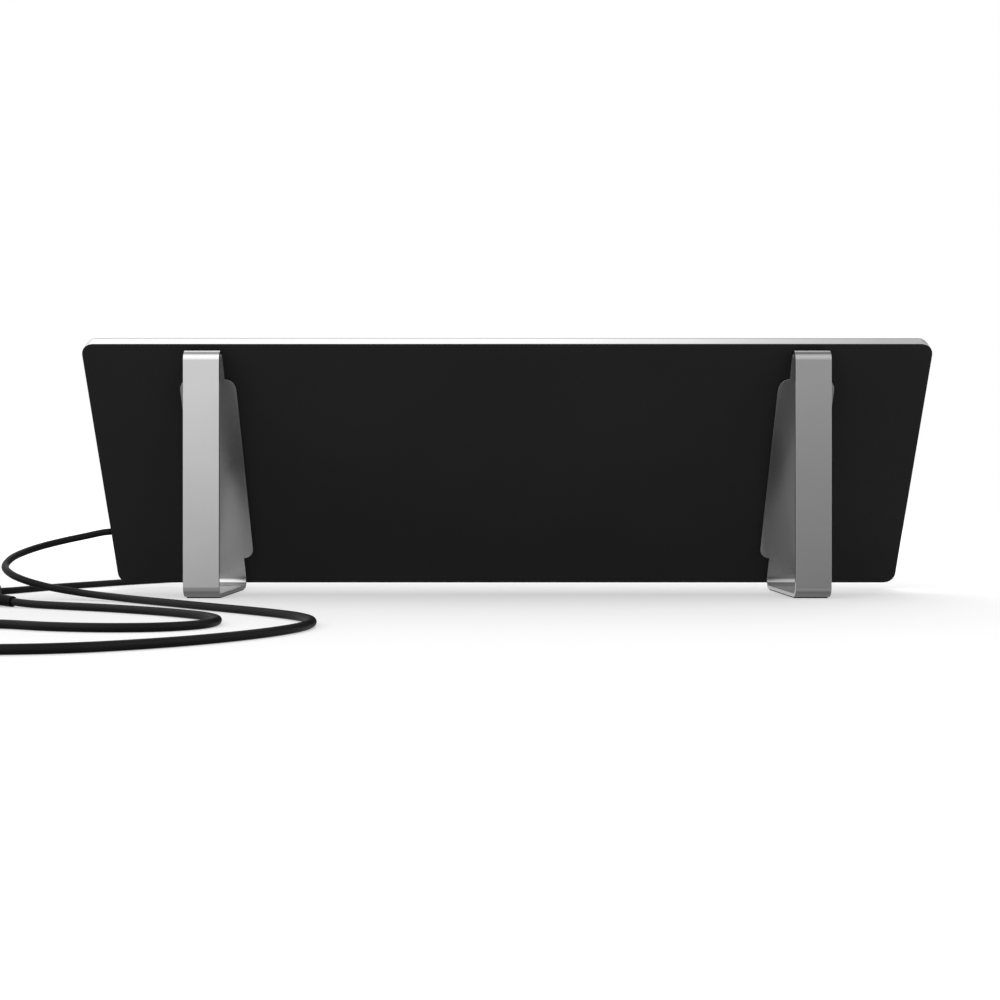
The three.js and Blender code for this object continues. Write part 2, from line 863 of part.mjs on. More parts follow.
// An open line with rounded corners, widened to a ribbon.
function ribbon(line, radius, width) {
  const left = [point(line[0].x, line[0].y + width / 2)];
  const right = [point(line[0].x, line[0].y - width / 2)];
  for (let i = 1; i + 1 < line.length; i += 1) {
    const back = line[i - 1].clone().sub(line[i]).normalize();
    const on = line[i + 1].clone().sub(line[i]).normalize();
    const centre = line[i].clone().addScaledVector(back.clone().add(on), radius);
    const side = Math.sign(on.cross(back));
    for (let k = 0; k <= cornerSteps; k += 1) {
      const angle = (side * Math.PI * k) / (2 * cornerSteps);
      const out = on.clone().negate().rotateAround(point(0, 0), angle);
      left.push(centre.clone().addScaledVector(out, radius - (side * width) / 2));
      right.push(centre.clone().addScaledVector(out, radius + (side * width) / 2));
    }
  }
  const end = line.at(-1);
  const ahead = Math.sign(end.x - line.at(-2).x);
  left.push(point(end.x, end.y + (ahead * width) / 2));
  right.push(point(end.x, end.y - (ahead * width) / 2));
  return [...right, ...left.reverse()];
}

function heatingTrack() {
  return slab(ribbon(trackLine(), trackPitch * trackBendShare, trackWidth), trackBack, trackFront);
}

// Legs

const legXs = places(2, panelWidth - 2 * legInset);
const plateTop = panelHeight - plateTopMargin;
const plateBottom = plateTop - plateLength;
const studPlaces = [plateTop - studMargin, plateBottom + studMargin];
const nutCorner = nutFlats / 2 / Math.cos(Math.PI / nutSides);

// The panel's lower back edge, seen from the rear foot corner of a leg at floor level.
const panelOrigin = new THREE.Vector3(
  0,
  footReach - panelDrop * Math.sin(panelLean) + seatGap * Math.cos(panelLean),
  padThickness + panelDrop * Math.cos(panelLean) + seatGap * Math.sin(panelLean),
);

// The closed triangular loop, drawn in by a margin from its outer faces.
function loopOutline(inset, radius) {
  const sine = Math.sin(panelLean);
  const cosine = Math.cos(panelLean);
  const face = footReach * cosine - inset;
  const corners = [
    point(inset, padThickness + inset),
    point((face - inset * sine) / cosine, padThickness + inset),
    point(inset, padThickness + (face - inset * cosine) / sine),
  ];
  return filleted(corners, radius, 2 * cornerSteps);
}

function legStrap() {
  const loop = across(
    loopOutline(0, bendRadius),
    -plateWidth / 2,
    plateWidth / 2,
    [loopOutline(strapThickness, bendRadius - strapThickness)],
  );
  const height = footReach / Math.tan(panelLean) + overrun;
  const strip = box(
    -strapWidth / 2,
    -overrun,
    -overrun,
    strapWidth / 2,
    footReach + overrun,
    height + overrun,
  );
  const half = plateWidth / 2;
  const plate = inPanel(
    slab(
      rectangle(-half, plateBottom, half, plateTop, plateCorner),
      -strapThickness - overrun,
      overrun,
    ),
  );
  const studs = studPlaces.map((rise) =>
    inPanel(slab(disc(studRadius, 0, rise), -seatGap - rootDepth, studLength - seatGap)),
  );
  return fuse(common(loop, fuse(strip, plate)), ...studs);
}

function inPanel(geometry) {
  return geometry
    .rotateX(panelLean)
    .translate(panelOrigin.x, panelOrigin.y, panelOrigin.z);
}

function footPad() {
  const half = strapWidth / 2 - padInset;
  const rear = bendRadius + padInset;
  const front = footReach - bendRadius / Math.tan((Math.PI / 2 - panelLean) / 2) - padInset;
  return upright(rectangle(-half, rear, half, front, padCorner), 0, padThickness);
}

function doublerOutline(x, room) {
  const half = doublerWidth / 2 + room;
  return rectangle(
    x - half,
    studPlaces[1] - doublerMargin - room,
    x + half,
    studPlaces[0] + doublerMargin + room,
    doublerCorner,
  );
}

function legDoubler(x) {
  const holes = studPlaces.map((rise) => disc(studRadius + fitGap, x, rise));
  return slab(doublerOutline(x, 0), frameBack, frameBack + doublerThickness, holes);
}

function legNut(x, rise) {
  const back = frameBack + doublerThickness + seatGap;
  const bore = disc(studRadius + fitGap, x, rise);
  return slab(disc(nutCorner, x, rise, nutSides), back, back + nutHeight, [bore]);
}

// In-line switch: the x axis runs along the cord, away from the panel

const parting = switchHeight * partingShare;
const pivotZ = switchHeight - pivotDrop;
const sleeveRootZ = sleeveFloor + sleeveRoot + fitGap;
const sleeveMouthZ = sleeveMouth + sleeveMouthLift;
const sleeveRun = sleeveLength - sleeveInsert;
const sleeveTilt = Math.atan((sleeveRootZ - sleeveMouthZ) / sleeveRun);
const mouthX = switchLength / 2 + sleeveRun;
const leafTop = pivotZ - noseReach - leafClearance;
const leafBottom = leafTop - leafThickness;
const contactTop = leafBottom - contactGap;
const posts = [
  [postOffset, postSide],
  [-postOffset, -postSide],
];

function switchOutline(inset) {
  const halfLength = switchLength / 2 - inset;
  const halfWidth = switchWidth / 2 - inset;
  return rectangle(-halfLength, -halfWidth, halfLength, halfWidth, switchCorner - inset);
}

// Rings of a shell whose lower edge is rounded, from the table up to its open rim.
function shellRings(outlineAt, edge, steps, rim) {
  const rings = Array.from({ length: steps + 1 }, (_, k) => {
    const angle = (k * Math.PI) / (2 * steps);
    return {
      outline: outlineAt(edge * (1 - Math.sin(angle))),
      level: edge * (1 - Math.cos(angle)),
    };
  });
  return [...rings, { outline: outlineAt(0), level: rim }];
}

function sleeveHoles() {
  const outline = disc(sleeveRoot + fitGap, 0, sleeveRootZ);
  const outer = switchLength / 2 + overrun;
  const inner = switchLength / 2 - switchWall - overrun;
  return [across(outline, inner, outer), across(outline, -outer, -inner)];
}

function switchBase() {
  const rim = parting - seatGap / 2;
  const shell = cut(
    loft(shellRings(switchOutline, switchEdge, switchEdgeSteps, rim)),
    upright(switchOutline(switchWall), switchWall, rim + overrun),
    ...sleeveHoles(),
  );
  const root = switchWall - rootDepth;
  const bossEnds = [
    [leafReach - contactBossLength, leafReach, leafBottom],
    [-leafReach, contactBossLength - leafReach, contactTop - leafThickness],
  ];
  const bosses = bossEnds.map(([from, to, top]) =>
    upright(rectangle(from, -leafWidth / 2, to, leafWidth / 2), root, top - seatGap),
  );
  const solidPosts = posts.map(([x, y]) => upright(disc(postRadius, x, y), root, rim));
  const screwHoles = posts.flatMap(([x, y]) => [
    upright(disc(housingScrewRadius + fitGap, x, y), -overrun, rim + overrun),
    upright(disc(housingScrewHead + fitGap, x, y), -overrun, housingScrewHeadHeight + seatGap),
  ]);
  return cut(fuse(shell, ...bosses, ...solidPosts), ...screwHoles);
}

function switchCover() {
  const rim = parting + seatGap / 2;
  const height = switchHeight - rim;
  const roof = switchHeight - switchWall;
  const shell = loft(shellRings(switchOutline, switchEdge, switchEdgeSteps, height))
    .rotateX(Math.PI)
    .translate(0, 0, switchHeight);
  const windowHalf = rockerReach + fitGap;
  const windowSide = rockerWidth / 2 + fitGap;
  const window = upright(
    rectangle(-windowHalf, -windowSide, windowHalf, windowSide),
    roof - overrun,
    switchHeight + overrun,
  );
  const hollow = cut(
    shell,
    upright(switchOutline(switchWall), rim - overrun, roof),
    window,
    ...sleeveHoles(),
  );
  const cheeks = [1, -1].map((side) => {
    const near = side * windowSide;
    const far = side * (windowSide + cheekThickness);
    return upright(
      rectangle(-cheekLength / 2, Math.min(near, far), cheekLength / 2, Math.max(near, far)),
      roof - cheekDepth,
      roof + rootDepth,
    );
  });
  const hangingPosts = posts.map(([x, y]) => upright(disc(postRadius, x, y), rim, roof + rootDepth));
  const screwHoles = posts.map(([x, y]) =>
    upright(disc(housingScrewRadius + fitGap, x, y), rim - overrun, rim + housingScrewReach + seatGap),
  );
  const axleHole = slab(
    disc(axleRadius + fitGap, 0, pivotZ),
    -windowSide - cheekThickness - rootDepth,
    windowSide + cheekThickness + rootDepth,
  );
  return cut(fuse(hollow, ...cheeks, ...hangingPosts), ...screwHoles, axleHole);
}

// How far the rocker's upper corner reaches along the switch at the end of its throw.
const rockerReach =
  (rockerLength / 2) * Math.cos(rockerThrow) + rockerEndRise * Math.sin(rockerThrow);

// The rocker about its own axle, level.
function switchRocker() {
  const end = rockerLength / 2;
  const waist = axleRadius + rockerFillet;
  const half = [
    point(noseWidth / 2, -noseReach),
    point(noseWidth / 2, -waist),
    point(end * rockerHeelShare, -axleRadius),
    point(end, 0),
    point(end, rockerEndRise),
  ];
  const mirrored = half.map((p) => point(-p.x, p.y)).reverse();
  const outline = [...half, point(0, rockerMidRise), ...mirrored];
  const radii = outline.map((p) => (p.x === 0 ? rockerMidFillet : rockerFillet));
  const rounded = filleted(outline, radii, rockerFilletSteps);
  const body = slab(rounded, -rockerWidth / 2, rockerWidth / 2);
  const axleHalf = rockerWidth / 2 + axleReach;
  return fuse(body, slab(disc(axleRadius), -axleHalf, axleHalf));
}

// A flat contact strip with a raised button at one end.
function contactStrip(from, to, bottom, buttonX, buttonBottom) {
  const strip = upright(
    rectangle(from, -leafWidth / 2, to, leafWidth / 2),
    bottom,
    bottom + leafThickness,
  );
  const low = Math.min(bottom + leafThickness / 2, buttonBottom);
  const high = Math.max(bottom + leafThickness / 2, buttonBottom);
  return fuse(strip, upright(disc(leafWidth / 4, buttonX, 0), low, high));
}

function housingScrew(x, y) {
  const headTop = housingScrewHeadHeight;
  const tip = parting + seatGap / 2 + housingScrewReach;
  const screw = fuse(
    upright(disc(housingScrewHead, x, y), seatGap, headTop),
    upright(disc(housingScrewRadius, x, y), headTop - rootDepth, tip),
  );
  return cut(screw, ...crossRecess(x, y, housingScrewHead, -overrun, seatGap + recessDepth));
}

// A tapered cord sleeve along x, with its mouth at zero.
function cordSleeve() {
  const profile = [
    point(0, cordInsert),
    point(cordRadius + fitGap, cordInsert),
    point(cordRadius + fitGap, 0),
    point(sleeveMouth - seatGap, 0),
    point(sleeveMouth, seatGap),
    point(sleeveRoot, sleeveRun),
    point(sleeveRoot, sleeveLength),
    point(0, sleeveLength),
  ];
  return lathe(profile);
}

// Plug: the x axis runs from the sleeve's mouth to the pins

const plugStart = plugSleeveLength - plugSleeveInsert;
const plugZ = plugThickness / 2;

function plugOutline(inset) {
  const half = plugWidth / 2;
  const rear = plugRear / 2;
  const run = plugLength - 2 * inset;
  const side = plugSideShares.map(([along, out]) =>
    point(inset + run * along, rear + (half - rear) * out - inset),
  );
  const below = side.map((p) => point(p.x, -p.y));
  return filleted([...below, ...side.reverse()], plugFillet, plugFilletSteps);
}

function plugBody() {
  const rings = shellRings(plugOutline, plugEdge, plugEdgeSteps, plugThickness - plugEdge);
  const upper = rings
    .slice(0, plugEdgeSteps)
    .map(({ outline, level }) => ({ outline, level: plugThickness - level }))
    .reverse();
  const body = loft([...rings, ...upper]);
  const pinHoles = places(2, pinSpacing).map((y) =>
    across(disc(pinRadius + fitGap, y, plugZ), plugLength - pinRoot, plugLength + overrun),
  );
  const sleeveHole = across(
    disc(plugSleeveRoot + fitGap, 0, plugZ),
    -overrun,
    plugSleeveInsert + seatGap,
  );
  return cut(body, ...pinHoles, sleeveHole);
}

function plugPin() {
  const straight = pinLength + pinRoot - seatGap - pinRadius;
  const insulated = pinRoot - seatGap + pinSleeveLength;
  const tip = Array.from({ length: pinTipSteps + 1 }, (_, k) => {
    const angle = (k * Math.PI) / (2 * pinTipSteps);
    return point(pinRadius * Math.cos(angle), straight + pinRadius * Math.sin(angle));
  });
  tip.at(-1).x = 0;
  const profile = [
    point(0, 0),
    point(pinSleeveRadius, 0),
    point(pinSleeveRadius, insulated),
    point(pinRadius, insulated),
    ...tip,
  ];
  return lathe(profile);
}

function plugSleeve() {
  const ribRun = plugStart / (plugSleeveRibs + 1);
  const radiusAt = (x) => plugSleeveMouth + ((plugSleeveRoot - plugSleeveMouth) * x) / plugStart;
  const ribs = Array.from({ length: plugSleeveRibs }, (_, k) => {
    const x = ribRun * (k + 1);
    const groove = radiusAt(x) - ribDepth;
    return [
      point(radiusAt(x), x - ribRun / 4),
      point(groove, x - ribRun / 8),
      point(groove, x + ribRun / 8),
      point(radiusAt(x), x + ribRun / 4),
    ];
  }).flat();
  const profile = [
    point(0, cordInsert),
    point(cordRadius + fitGap, cordInsert),
    point(cordRadius + fitGap, 0),
    point(plugSleeveMouth, 0),
    ...ribs,
    point(plugSleeveRoot, plugStart),
    point(plugSleeveRoot, plugSleeveLength),
    point(0, plugSleeveLength),
  ];
  return lathe(profile);
}

// Free cord

// From the panel's side, through the low arch beside it, over the floor in two flat loops, to the switch.
const firstRoute = [
  [-300.3, 32.53, 44.81],
  [-306.8, 32.2, 44.19],
  [-319.8, 28.9, 41.38],
  [-332.9, 20.4, 38.28],
  [-345.1, 3.4, 34.44],
  [-352.7, -13.6, 30.53],
  [-355.9, -29.1, 26.81],
  [-355.2, -43.6, 21.62],
  [-345.8, -56.8, 16.81],
  [-334.2, -62.9, 12.97],
  [-317.6, -65.9, 8.79],
  [-294, -70.6, 5.1],
  [-259.4, -93.2, 3.04],
  [-209, -141, 2.6],
  [-136.5, -214, 2.55],
  [-117.5, -240, 2.55],
  [-107.7, -267.5, 2.55],
  [-108.1, -296.5, 2.55],
  [-119, -327.1, 2.55],
  [-140, -359, 2.55],
  [-167.8, -386, 2.55],
  [-198.5, -404, 2.55],
  [-232, -410.5, 2.55],
  [-275, -405.5, 2.55],
  [-318, -383.5, 2.55],
  [-345, -342.5, 2.55],
  [-341, -300.5, 2.55],
  [-310, -277, 2.55],
  [-271, -284.5, 2.55],
  [-240.2, -298.8, 2.55],
  [-209, -305.4, 2.55],
  [-180.8, -301.5, 2.55],
  [-163.5, -285.5, 2.55],
  [-160.7, -261.5, 2.55],
  [-171, -237, 2.55],
  [-198.3, -208.5, 2.55],
  [-239.4, -179, 2.6],
  [-303.3, -143.16, 2.75],
  [-317.25, -135.31, 3.55],
  [-319.6, -133.99, 3.74],
];

// From the switch, round its end and away to the coil behind the panel.
const secondRoute = [
  [-394.88, -91.57, 3.74],
  [-397.23, -90.24, 3.55],
  [-402, -87.5, 3.15],
  [-408.6, -82.4, 2.65],
  [-415.1, -73.3, 2.55],
  [-418, -62.6, 2.55],
  [-417, -51.5, 2.55],
  [-412.3, -41.4, 2.55],
  [-405.6, -34.7, 2.55],
  [-397, -30.5, 2.55],
  [-386.5, -27.5, 2.55],
  [-376.5, -24.1, 2.55],
  [-368.4, -18.1, 2.55],
  [-362.2, -9.1, 2.55],
  [-357, 3.2, 2.55],
  [-343.5, 33.5, 2.55],
  [-326, 63.5, 2.55],
  [-310, 90.8, 2.55],
  [-296, 110.6, 2.55],
  [-281.5, 129, 2.55],
  [-270, 142.6, 2.8],
  [-262.15, 151.77, 3.45],
  [-259.07, 155.44, 3.6],
];

// From the coil's last turn down to the plug.
const tailRoute = [
  [-260, 154.66, 9.2],
  [-255.9, 157, 9.2],
  [-248, 161.1, 9.1],
  [-238, 165.1, 8.4],
  [-226, 168, 7.3],
  [-218, 169.2, 6.9],
  [-213.3, 169.88, 6.85],
];

const vectors = (route) => route.map(([x, y, z]) => new THREE.Vector3(x, y, z));
const coilZ = tieThickness + seatGap + cordRadius;

// The coil's centre line: inwards on the floor layer, up through half a turn, outwards on the next.
function coilPoint(sweep) {
  const middle = coilSweep / 2;
  const inwards = Math.min(sweep, coilSweep - sweep);
  const radius = coilOuter - (coilPitch * inwards) / (2 * Math.PI);
  const climb = THREE.MathUtils.clamp((sweep - middle) / Math.PI + 0.5, 0, 1);
  return new THREE.Vector3(
    coilX + radius * Math.cos(coilStart + sweep),
    coilY + radius * Math.sin(coilStart + sweep),
    coilZ + coilPitch * climb,
  );
}

function coilLine() {
  const steps = Math.round((coilTurnSteps * coilSweep) / (2 * Math.PI));
  const line = Array.from({ length: steps + 1 }, (_, k) => coilPoint((coilSweep * k) / steps));
  const leadIn = new THREE.Vector3(-Math.sin(coilStart), Math.cos(coilStart), 0);
  const coilEnd = coilStart + coilSweep;
  const leadOut = new THREE.Vector3(-Math.sin(coilEnd), Math.cos(coilEnd), 0);
  return [
    line[0].clone().addScaledVector(leadIn, -cordDiameter),
    ...line,
    line.at(-1).clone().addScaledVector(leadOut, cordDiameter),
  ];
}

// One unbroken tube round a line that stays nearly level.
function windTube(line, radius, sides) {
  const up = new THREE.Vector3(0, 0, 1);
  const spots = line.flatMap((centre, i) => {
    const before = line[Math.max(i - 1, 0)];
    const after = line[Math.min(i + 1, line.length - 1)];
    const ahead = after.clone().sub(before).normalize();
    const side = ahead.clone().cross(up).normalize();
    const top = side.clone().cross(ahead);
    return Array.from({ length: sides }, (_, k) => {
      const angle = (2 * Math.PI * k) / sides;
      return centre
        .clone()
        .addScaledVector(side, radius * Math.cos(angle))
        .addScaledVector(top, radius * Math.sin(angle));
    });
  });
  const faces = [];
  for (let i = 0; i + 1 < line.length; i += 1) {
    for (let k = 0; k < sides; k += 1) {
      const a = i * sides + k;
      const b = i * sides + ((k + 1) % sides);
      faces.push(a, b + sides, b, a, a + sides, b + sides);
    }
  }
  const last = (line.length - 1) * sides;
  for (let k = 1; k + 1 < sides; k += 1) {
    faces.push(0, k, k + 1, last, last + k + 1, last + k);
  }
  const geometry = new THREE.BufferGeometry().setFromPoints(spots);
  geometry.setIndex(faces);
  return geometry;
}

// The least gap between the coil's turns, measured on points along its centre line.
function coilGap() {
  const count = Math.round((coilProbes * coilSweep) / (2 * Math.PI));
  const probes = Array.from({ length: count + 1 }, (_, k) => coilPoint((coilSweep * k) / count));
  const apart = coilProbes / 2;
  let least = Infinity;
  probes.forEach((from, i) => {
    for (const to of probes.slice(i + apart)) least = Math.min(least, from.distanceTo(to));
  });
  return least - cordDiameter;
}

function coilTie() {
  const turns = coilSweep / (4 * Math.PI);
  const innerSide = coilOuter - coilPitch * turns - cordRadius - tieClearance;
  const outerSide = coilOuter + cordRadius + tieClearance;
  const roof = coilZ + coilPitch + cordRadius + seatGap;
  const innerCorner = tieCorner - tieThickness;
  const hole = rectangle(innerSide, tieThickness, outerSide, roof, innerCorner, tieCornerSteps);
  const outer = rectangle(
    innerSide - tieThickness,
    0,
    outerSide + tieThickness,
    roof + tieThickness,
    tieCorner,
    tieCornerSteps,
  );
  const band = slab(outer, -tieWidth / 2, tieWidth / 2, [hole]);
  const tail = box(
    outerSide - tieCorner - tieTail,
    -tieWidth / 2,
    roof + tieThickness / 2,
    outerSide - tieCorner,
    tieWidth / 2,
    roof + 2 * tieThickness,
  );
  return fuse(band, tail);
}

// Assembly

panel.position.copy(panelOrigin);
panel.rotation.x = panelLean;
addPiece(panel, "front_glass", frontGlass(), "whiteGlass");
addPiece(panel, "panel_frame", panelFrame(), "satinMetal");
addPiece(panel, "back_cover", backCover(), "blackPaint");
addPiece(panel, "glass_seal", glassSeal(), "silicone");
addPiece(panel, "element_carrier", elementCarrier(), "carrier");
addPiece(panel, "heating_track", heatingTrack(), "copper");
addPiece(panel, "reflector_foil", reflectorFoil(), "foil");
addPiece(panel, "insulation_board", insulationBoard(), "board");
coverScrewXs.forEach((x, i) => {
  addPiece(panel, `cover_screw_${i + 1}`, recessedCoverScrew(x), "steel");
});
addPiece(panel, "cord_grommet", cordGrommet(), "blackRubber");
addPiece(panel, "cord_clamp", cordClamp(), "blackPlastic");
clampScrewPlaces.forEach((rise, i) => {
  addPiece(panel, `clamp_screw_${i + 1}`, clampScrew(rise), "steel");
});
const sheath = across(disc(cordRadius, cordLevel, cordRise), panelLeft, sheathEnd);
addPiece(panel, "cord_sheath_end", sheath, "cord");
addPiece(panel, "live_core", sheathCore(1), "brownWire");
addPiece(panel, "neutral_core", sheathCore(-1), "blueWire");
addPiece(panel, "terminal_block", terminalBlock(), "ceramic");
addPiece(panel, "thermal_cutout", thermalCutout(), "blackPlastic");
addPiece(panel, "live_wire", liveWire(), "brownWire");
addPiece(panel, "link_wire", linkWire(), "brownWire");
addPiece(panel, "neutral_wire", neutralWire(), "blueWire");

const heater = new THREE.Group();
heater.add(panel);
["left", "right"].forEach((side, i) => {
  const leg = addPiece(heater, `${side}_leg_strap`, legStrap(), "satinMetal");
  leg.position.x = legXs[i];
  const pad = addPiece(heater, `${side}_foot_pad`, footPad(), "blackRubber");
  pad.position.x = legXs[i];
  addPiece(panel, `${side}_doubler`, legDoubler(legXs[i]), "steel");
  ["upper", "lower"].forEach((place, k) => {
    addPiece(panel, `${side}_${place}_nut`, legNut(legXs[i], studPlaces[k]), "steel");
  });
});
const heaterDepth =
  panelOrigin.y + panelDepth * Math.cos(panelLean) - frameBevelInset * Math.sin(panelLean);
heater.position.y = -heaterDepth / 2;

// The switch lies on the floor between the two stretches of cord.
const switchSet = new THREE.Group();
switchSet.position.set(
  switchX + mouthX * Math.cos(switchHeading),
  switchY + mouthX * Math.sin(switchHeading),
  0,
);
switchSet.rotation.z = switchHeading;
addPiece(switchSet, "switch_base", switchBase(), "blackPlastic");
addPiece(switchSet, "switch_cover", switchCover(), "blackPlastic");
const rocker = addPiece(switchSet, "switch_rocker", switchRocker(), "blackPlastic");
rocker.position.z = pivotZ;
rocker.rotation.y = rockerThrow;
const leaf = contactStrip(
  -leafReach + contactBossLength / 2,
  leafReach,
  leafBottom,
  -leafReach + contactBossLength,
  leafBottom - contactButton,
);
addPiece(switchSet, "contact_leaf", leaf, "brass");
const fixed = contactStrip(
  -leafReach,
  -leafReach + 2 * contactBossLength,
  contactTop - leafThickness,
  -leafReach + contactBossLength,
  contactTop + contactButton,
);
addPiece(switchSet, "fixed_contact", fixed, "brass");
const link = upright(
  rectangle(-linkLength / 2, -linkSide - linkWidth / 2, linkLength / 2, linkWidth / 2 - linkSide),
  switchWall + seatGap,
  switchWall + seatGap + linkThickness,
);
addPiece(switchSet, "through_conductor", link, "brass");
posts.forEach(([x, y], i) => {
  addPiece(switchSet, `switch_screw_${i + 1}`, housingScrew(x, y), "steel");
});
[-1, 1].forEach((side, i) => {
  const holder = new THREE.Group();
  holder.position.set(side * mouthX, 0, sleeveMouthZ);
  holder.rotation.z = side > 0 ? Math.PI : 0;
  const sleeve = addPiece(holder, `switch_sleeve_${i + 1}`, cordSleeve(), "blackRubber");
  sleeve.rotation.y = -sleeveTilt;
  switchSet.add(holder);
});

const plug = new THREE.Group();
plug.position.set(plugX, plugY, 0);
plug.rotation.z = plugHeading;
const body = addPiece(plug, "plug_body", plugBody(), "blackPlastic");
body.position.x = plugStart;
places(2, pinSpacing).forEach((y, i) => {
  const pin = addPiece(plug, `plug_pin_${i + 1}`, plugPin(), "brass");
  pin.position.set(plugStart + plugLength - pinRoot + seatGap, y, plugZ);
});
const plugRelief = addPiece(plug, "plug_sleeve", plugSleeve(), "blackRubber");
plugRelief.position.z = plugZ;

const cordSet = new THREE.Group();
addPiece(cordSet, "lead_to_switch", tube(vectors(firstRoute), cordRadius, leadSteps), "cord");
addPiece(cordSet, "lead_to_coil", tube(vectors(secondRoute), cordRadius, secondLeadSteps), "cord");
addPiece(cordSet, "cord_coil", windTube(coilLine(), cordRadius, coilSides), "cord");
addPiece(cordSet, "plug_tail", tube(vectors(tailRoute), cordRadius, tailSteps), "cord");
const tie = addPiece(cordSet, "coil_tie", coilTie(), "blackRubber");
tie.position.set(coilX, coilY, 0);
tie.rotation.z = tieAngle;
console.log(`least gap between the coil's turns: ${coilGap().toFixed(2)} mm`);

const besidePanel = new THREE.Group();
besidePanel.add(switchSet, plug, cordSet);
besidePanel.position.x = panelLeft - routeSide;

const part = new THREE.Group();
part.add(heater, besidePanel);

export default part;
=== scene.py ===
"""Looks for the infrared panel heater: camera, cords, finishes, floor and light."""

import json
import math

import bmesh
import bpy
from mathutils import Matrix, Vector


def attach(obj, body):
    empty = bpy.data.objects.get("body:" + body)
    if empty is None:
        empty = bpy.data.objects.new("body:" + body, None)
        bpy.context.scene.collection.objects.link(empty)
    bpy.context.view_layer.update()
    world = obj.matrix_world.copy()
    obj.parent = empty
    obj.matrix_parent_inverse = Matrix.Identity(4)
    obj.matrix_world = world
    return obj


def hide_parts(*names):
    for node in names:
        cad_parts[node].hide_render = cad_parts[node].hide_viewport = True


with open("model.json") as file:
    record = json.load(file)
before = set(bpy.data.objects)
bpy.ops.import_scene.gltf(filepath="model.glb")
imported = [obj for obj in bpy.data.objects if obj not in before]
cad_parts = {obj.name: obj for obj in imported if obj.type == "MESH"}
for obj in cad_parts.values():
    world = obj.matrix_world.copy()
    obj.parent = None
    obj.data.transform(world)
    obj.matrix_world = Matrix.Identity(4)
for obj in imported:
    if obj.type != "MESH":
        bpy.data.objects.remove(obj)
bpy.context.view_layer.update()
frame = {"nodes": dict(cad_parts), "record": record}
nodes = frame["nodes"]
scene = bpy.context.scene
MM = 0.001


def add_object(name, data):
    made = bpy.data.objects.new(name, data)
    scene.collection.objects.link(made)
    return made


# Camera: level, at the photograph's place behind the panel
CAMERA_PLACE = (-5.07, -1026.1, 68.8)  # in millimetres
LENS = 50
SENSOR = 36
CLIP_START = 0.01
CLIP_END = 100
LEVEL = math.pi / 2

camera_data = bpy.data.cameras.new("camera")
camera_data.lens = LENS
camera_data.sensor_width = SENSOR
camera_data.clip_start = CLIP_START
camera_data.clip_end = CLIP_END
camera = add_object("camera", camera_data)
camera.location = [v * MM for v in CAMERA_PLACE]
camera.rotation_euler = (LEVEL, 0, 0)
scene.camera = camera

# Cords: the same routes as the solids, in millimetres, turned to metres below
CORD_DIAMETER = 5.0
CORD_SIDES = 16
ROUTE_STEP = 3.0
LEAST_STEPS = 2  # between two points of a route
FIRST_ROUTE = [
    (-300.3, 32.53, 44.81), (-306.8, 32.2, 44.19), (-319.8, 28.9, 41.38), (-332.9, 20.4, 38.28),
    (-345.1, 3.4, 34.44), (-352.7, -13.6, 30.53), (-355.9, -29.1, 26.81), (-355.2, -43.6, 21.62),
    (-345.8, -56.8, 16.81), (-334.2, -62.9, 12.97), (-317.6, -65.9, 8.79), (-294, -70.6, 5.1),
    (-259.4, -93.2, 3.04), (-209, -141, 2.6), (-136.5, -214, 2.55), (-117.5, -240, 2.55),
    (-107.7, -267.5, 2.55), (-108.1, -296.5, 2.55), (-119, -327.1, 2.55), (-140, -359, 2.55),
    (-167.8, -386, 2.55), (-198.5, -404, 2.55), (-232, -410.5, 2.55), (-275, -405.5, 2.55),
    (-318, -383.5, 2.55), (-345, -342.5, 2.55), (-341, -300.5, 2.55), (-310, -277, 2.55),
    (-271, -284.5, 2.55), (-240.2, -298.8, 2.55), (-209, -305.4, 2.55), (-180.8, -301.5, 2.55),
    (-163.5, -285.5, 2.55), (-160.7, -261.5, 2.55), (-171, -237, 2.55), (-198.3, -208.5, 2.55),
    (-239.4, -179, 2.6), (-303.3, -143.16, 2.75), (-317.25, -135.31, 3.55),
    (-319.6, -133.99, 3.74),
]
SECOND_ROUTE = [
    (-394.88, -91.57, 3.74), (-397.23, -90.24, 3.55), (-402, -87.5, 3.15), (-408.6, -82.4, 2.65),
    (-415.1, -73.3, 2.55), (-418, -62.6, 2.55), (-417, -51.5, 2.55), (-412.3, -41.4, 2.55),
    (-405.6, -34.7, 2.55), (-397, -30.5, 2.55), (-386.5, -27.5, 2.55), (-376.5, -24.1, 2.55),
    (-368.4, -18.1, 2.55), (-362.2, -9.1, 2.55), (-357, 3.2, 2.55), (-343.5, 33.5, 2.55),
    (-326, 63.5, 2.55), (-310, 90.8, 2.55), (-296, 110.6, 2.55), (-281.5, 129, 2.55),
    (-270, 142.6, 2.8), (-262.15, 151.77, 3.45), (-259.07, 155.44, 3.6),
]
TAIL_ROUTE = [
    (-260, 154.66, 9.2), (-255.9, 157, 9.2), (-248, 161.1, 9.1), (-238, 165.1, 8.4),
    (-226, 168, 7.3), (-218, 169.2, 6.9), (-213.3, 169.88, 6.85),
]
COIL_CENTRE = (-281.4, 181.1)
COIL_PITCH = 5.6
COIL_OUTER = 33.6
COIL_START = math.radians(-40)
COIL_SWEEP = math.radians(1420)
COIL_LIFT = 3.6
COIL_STEPS_PER_TURN = 60
FULL_TURN = 2 * math.pi


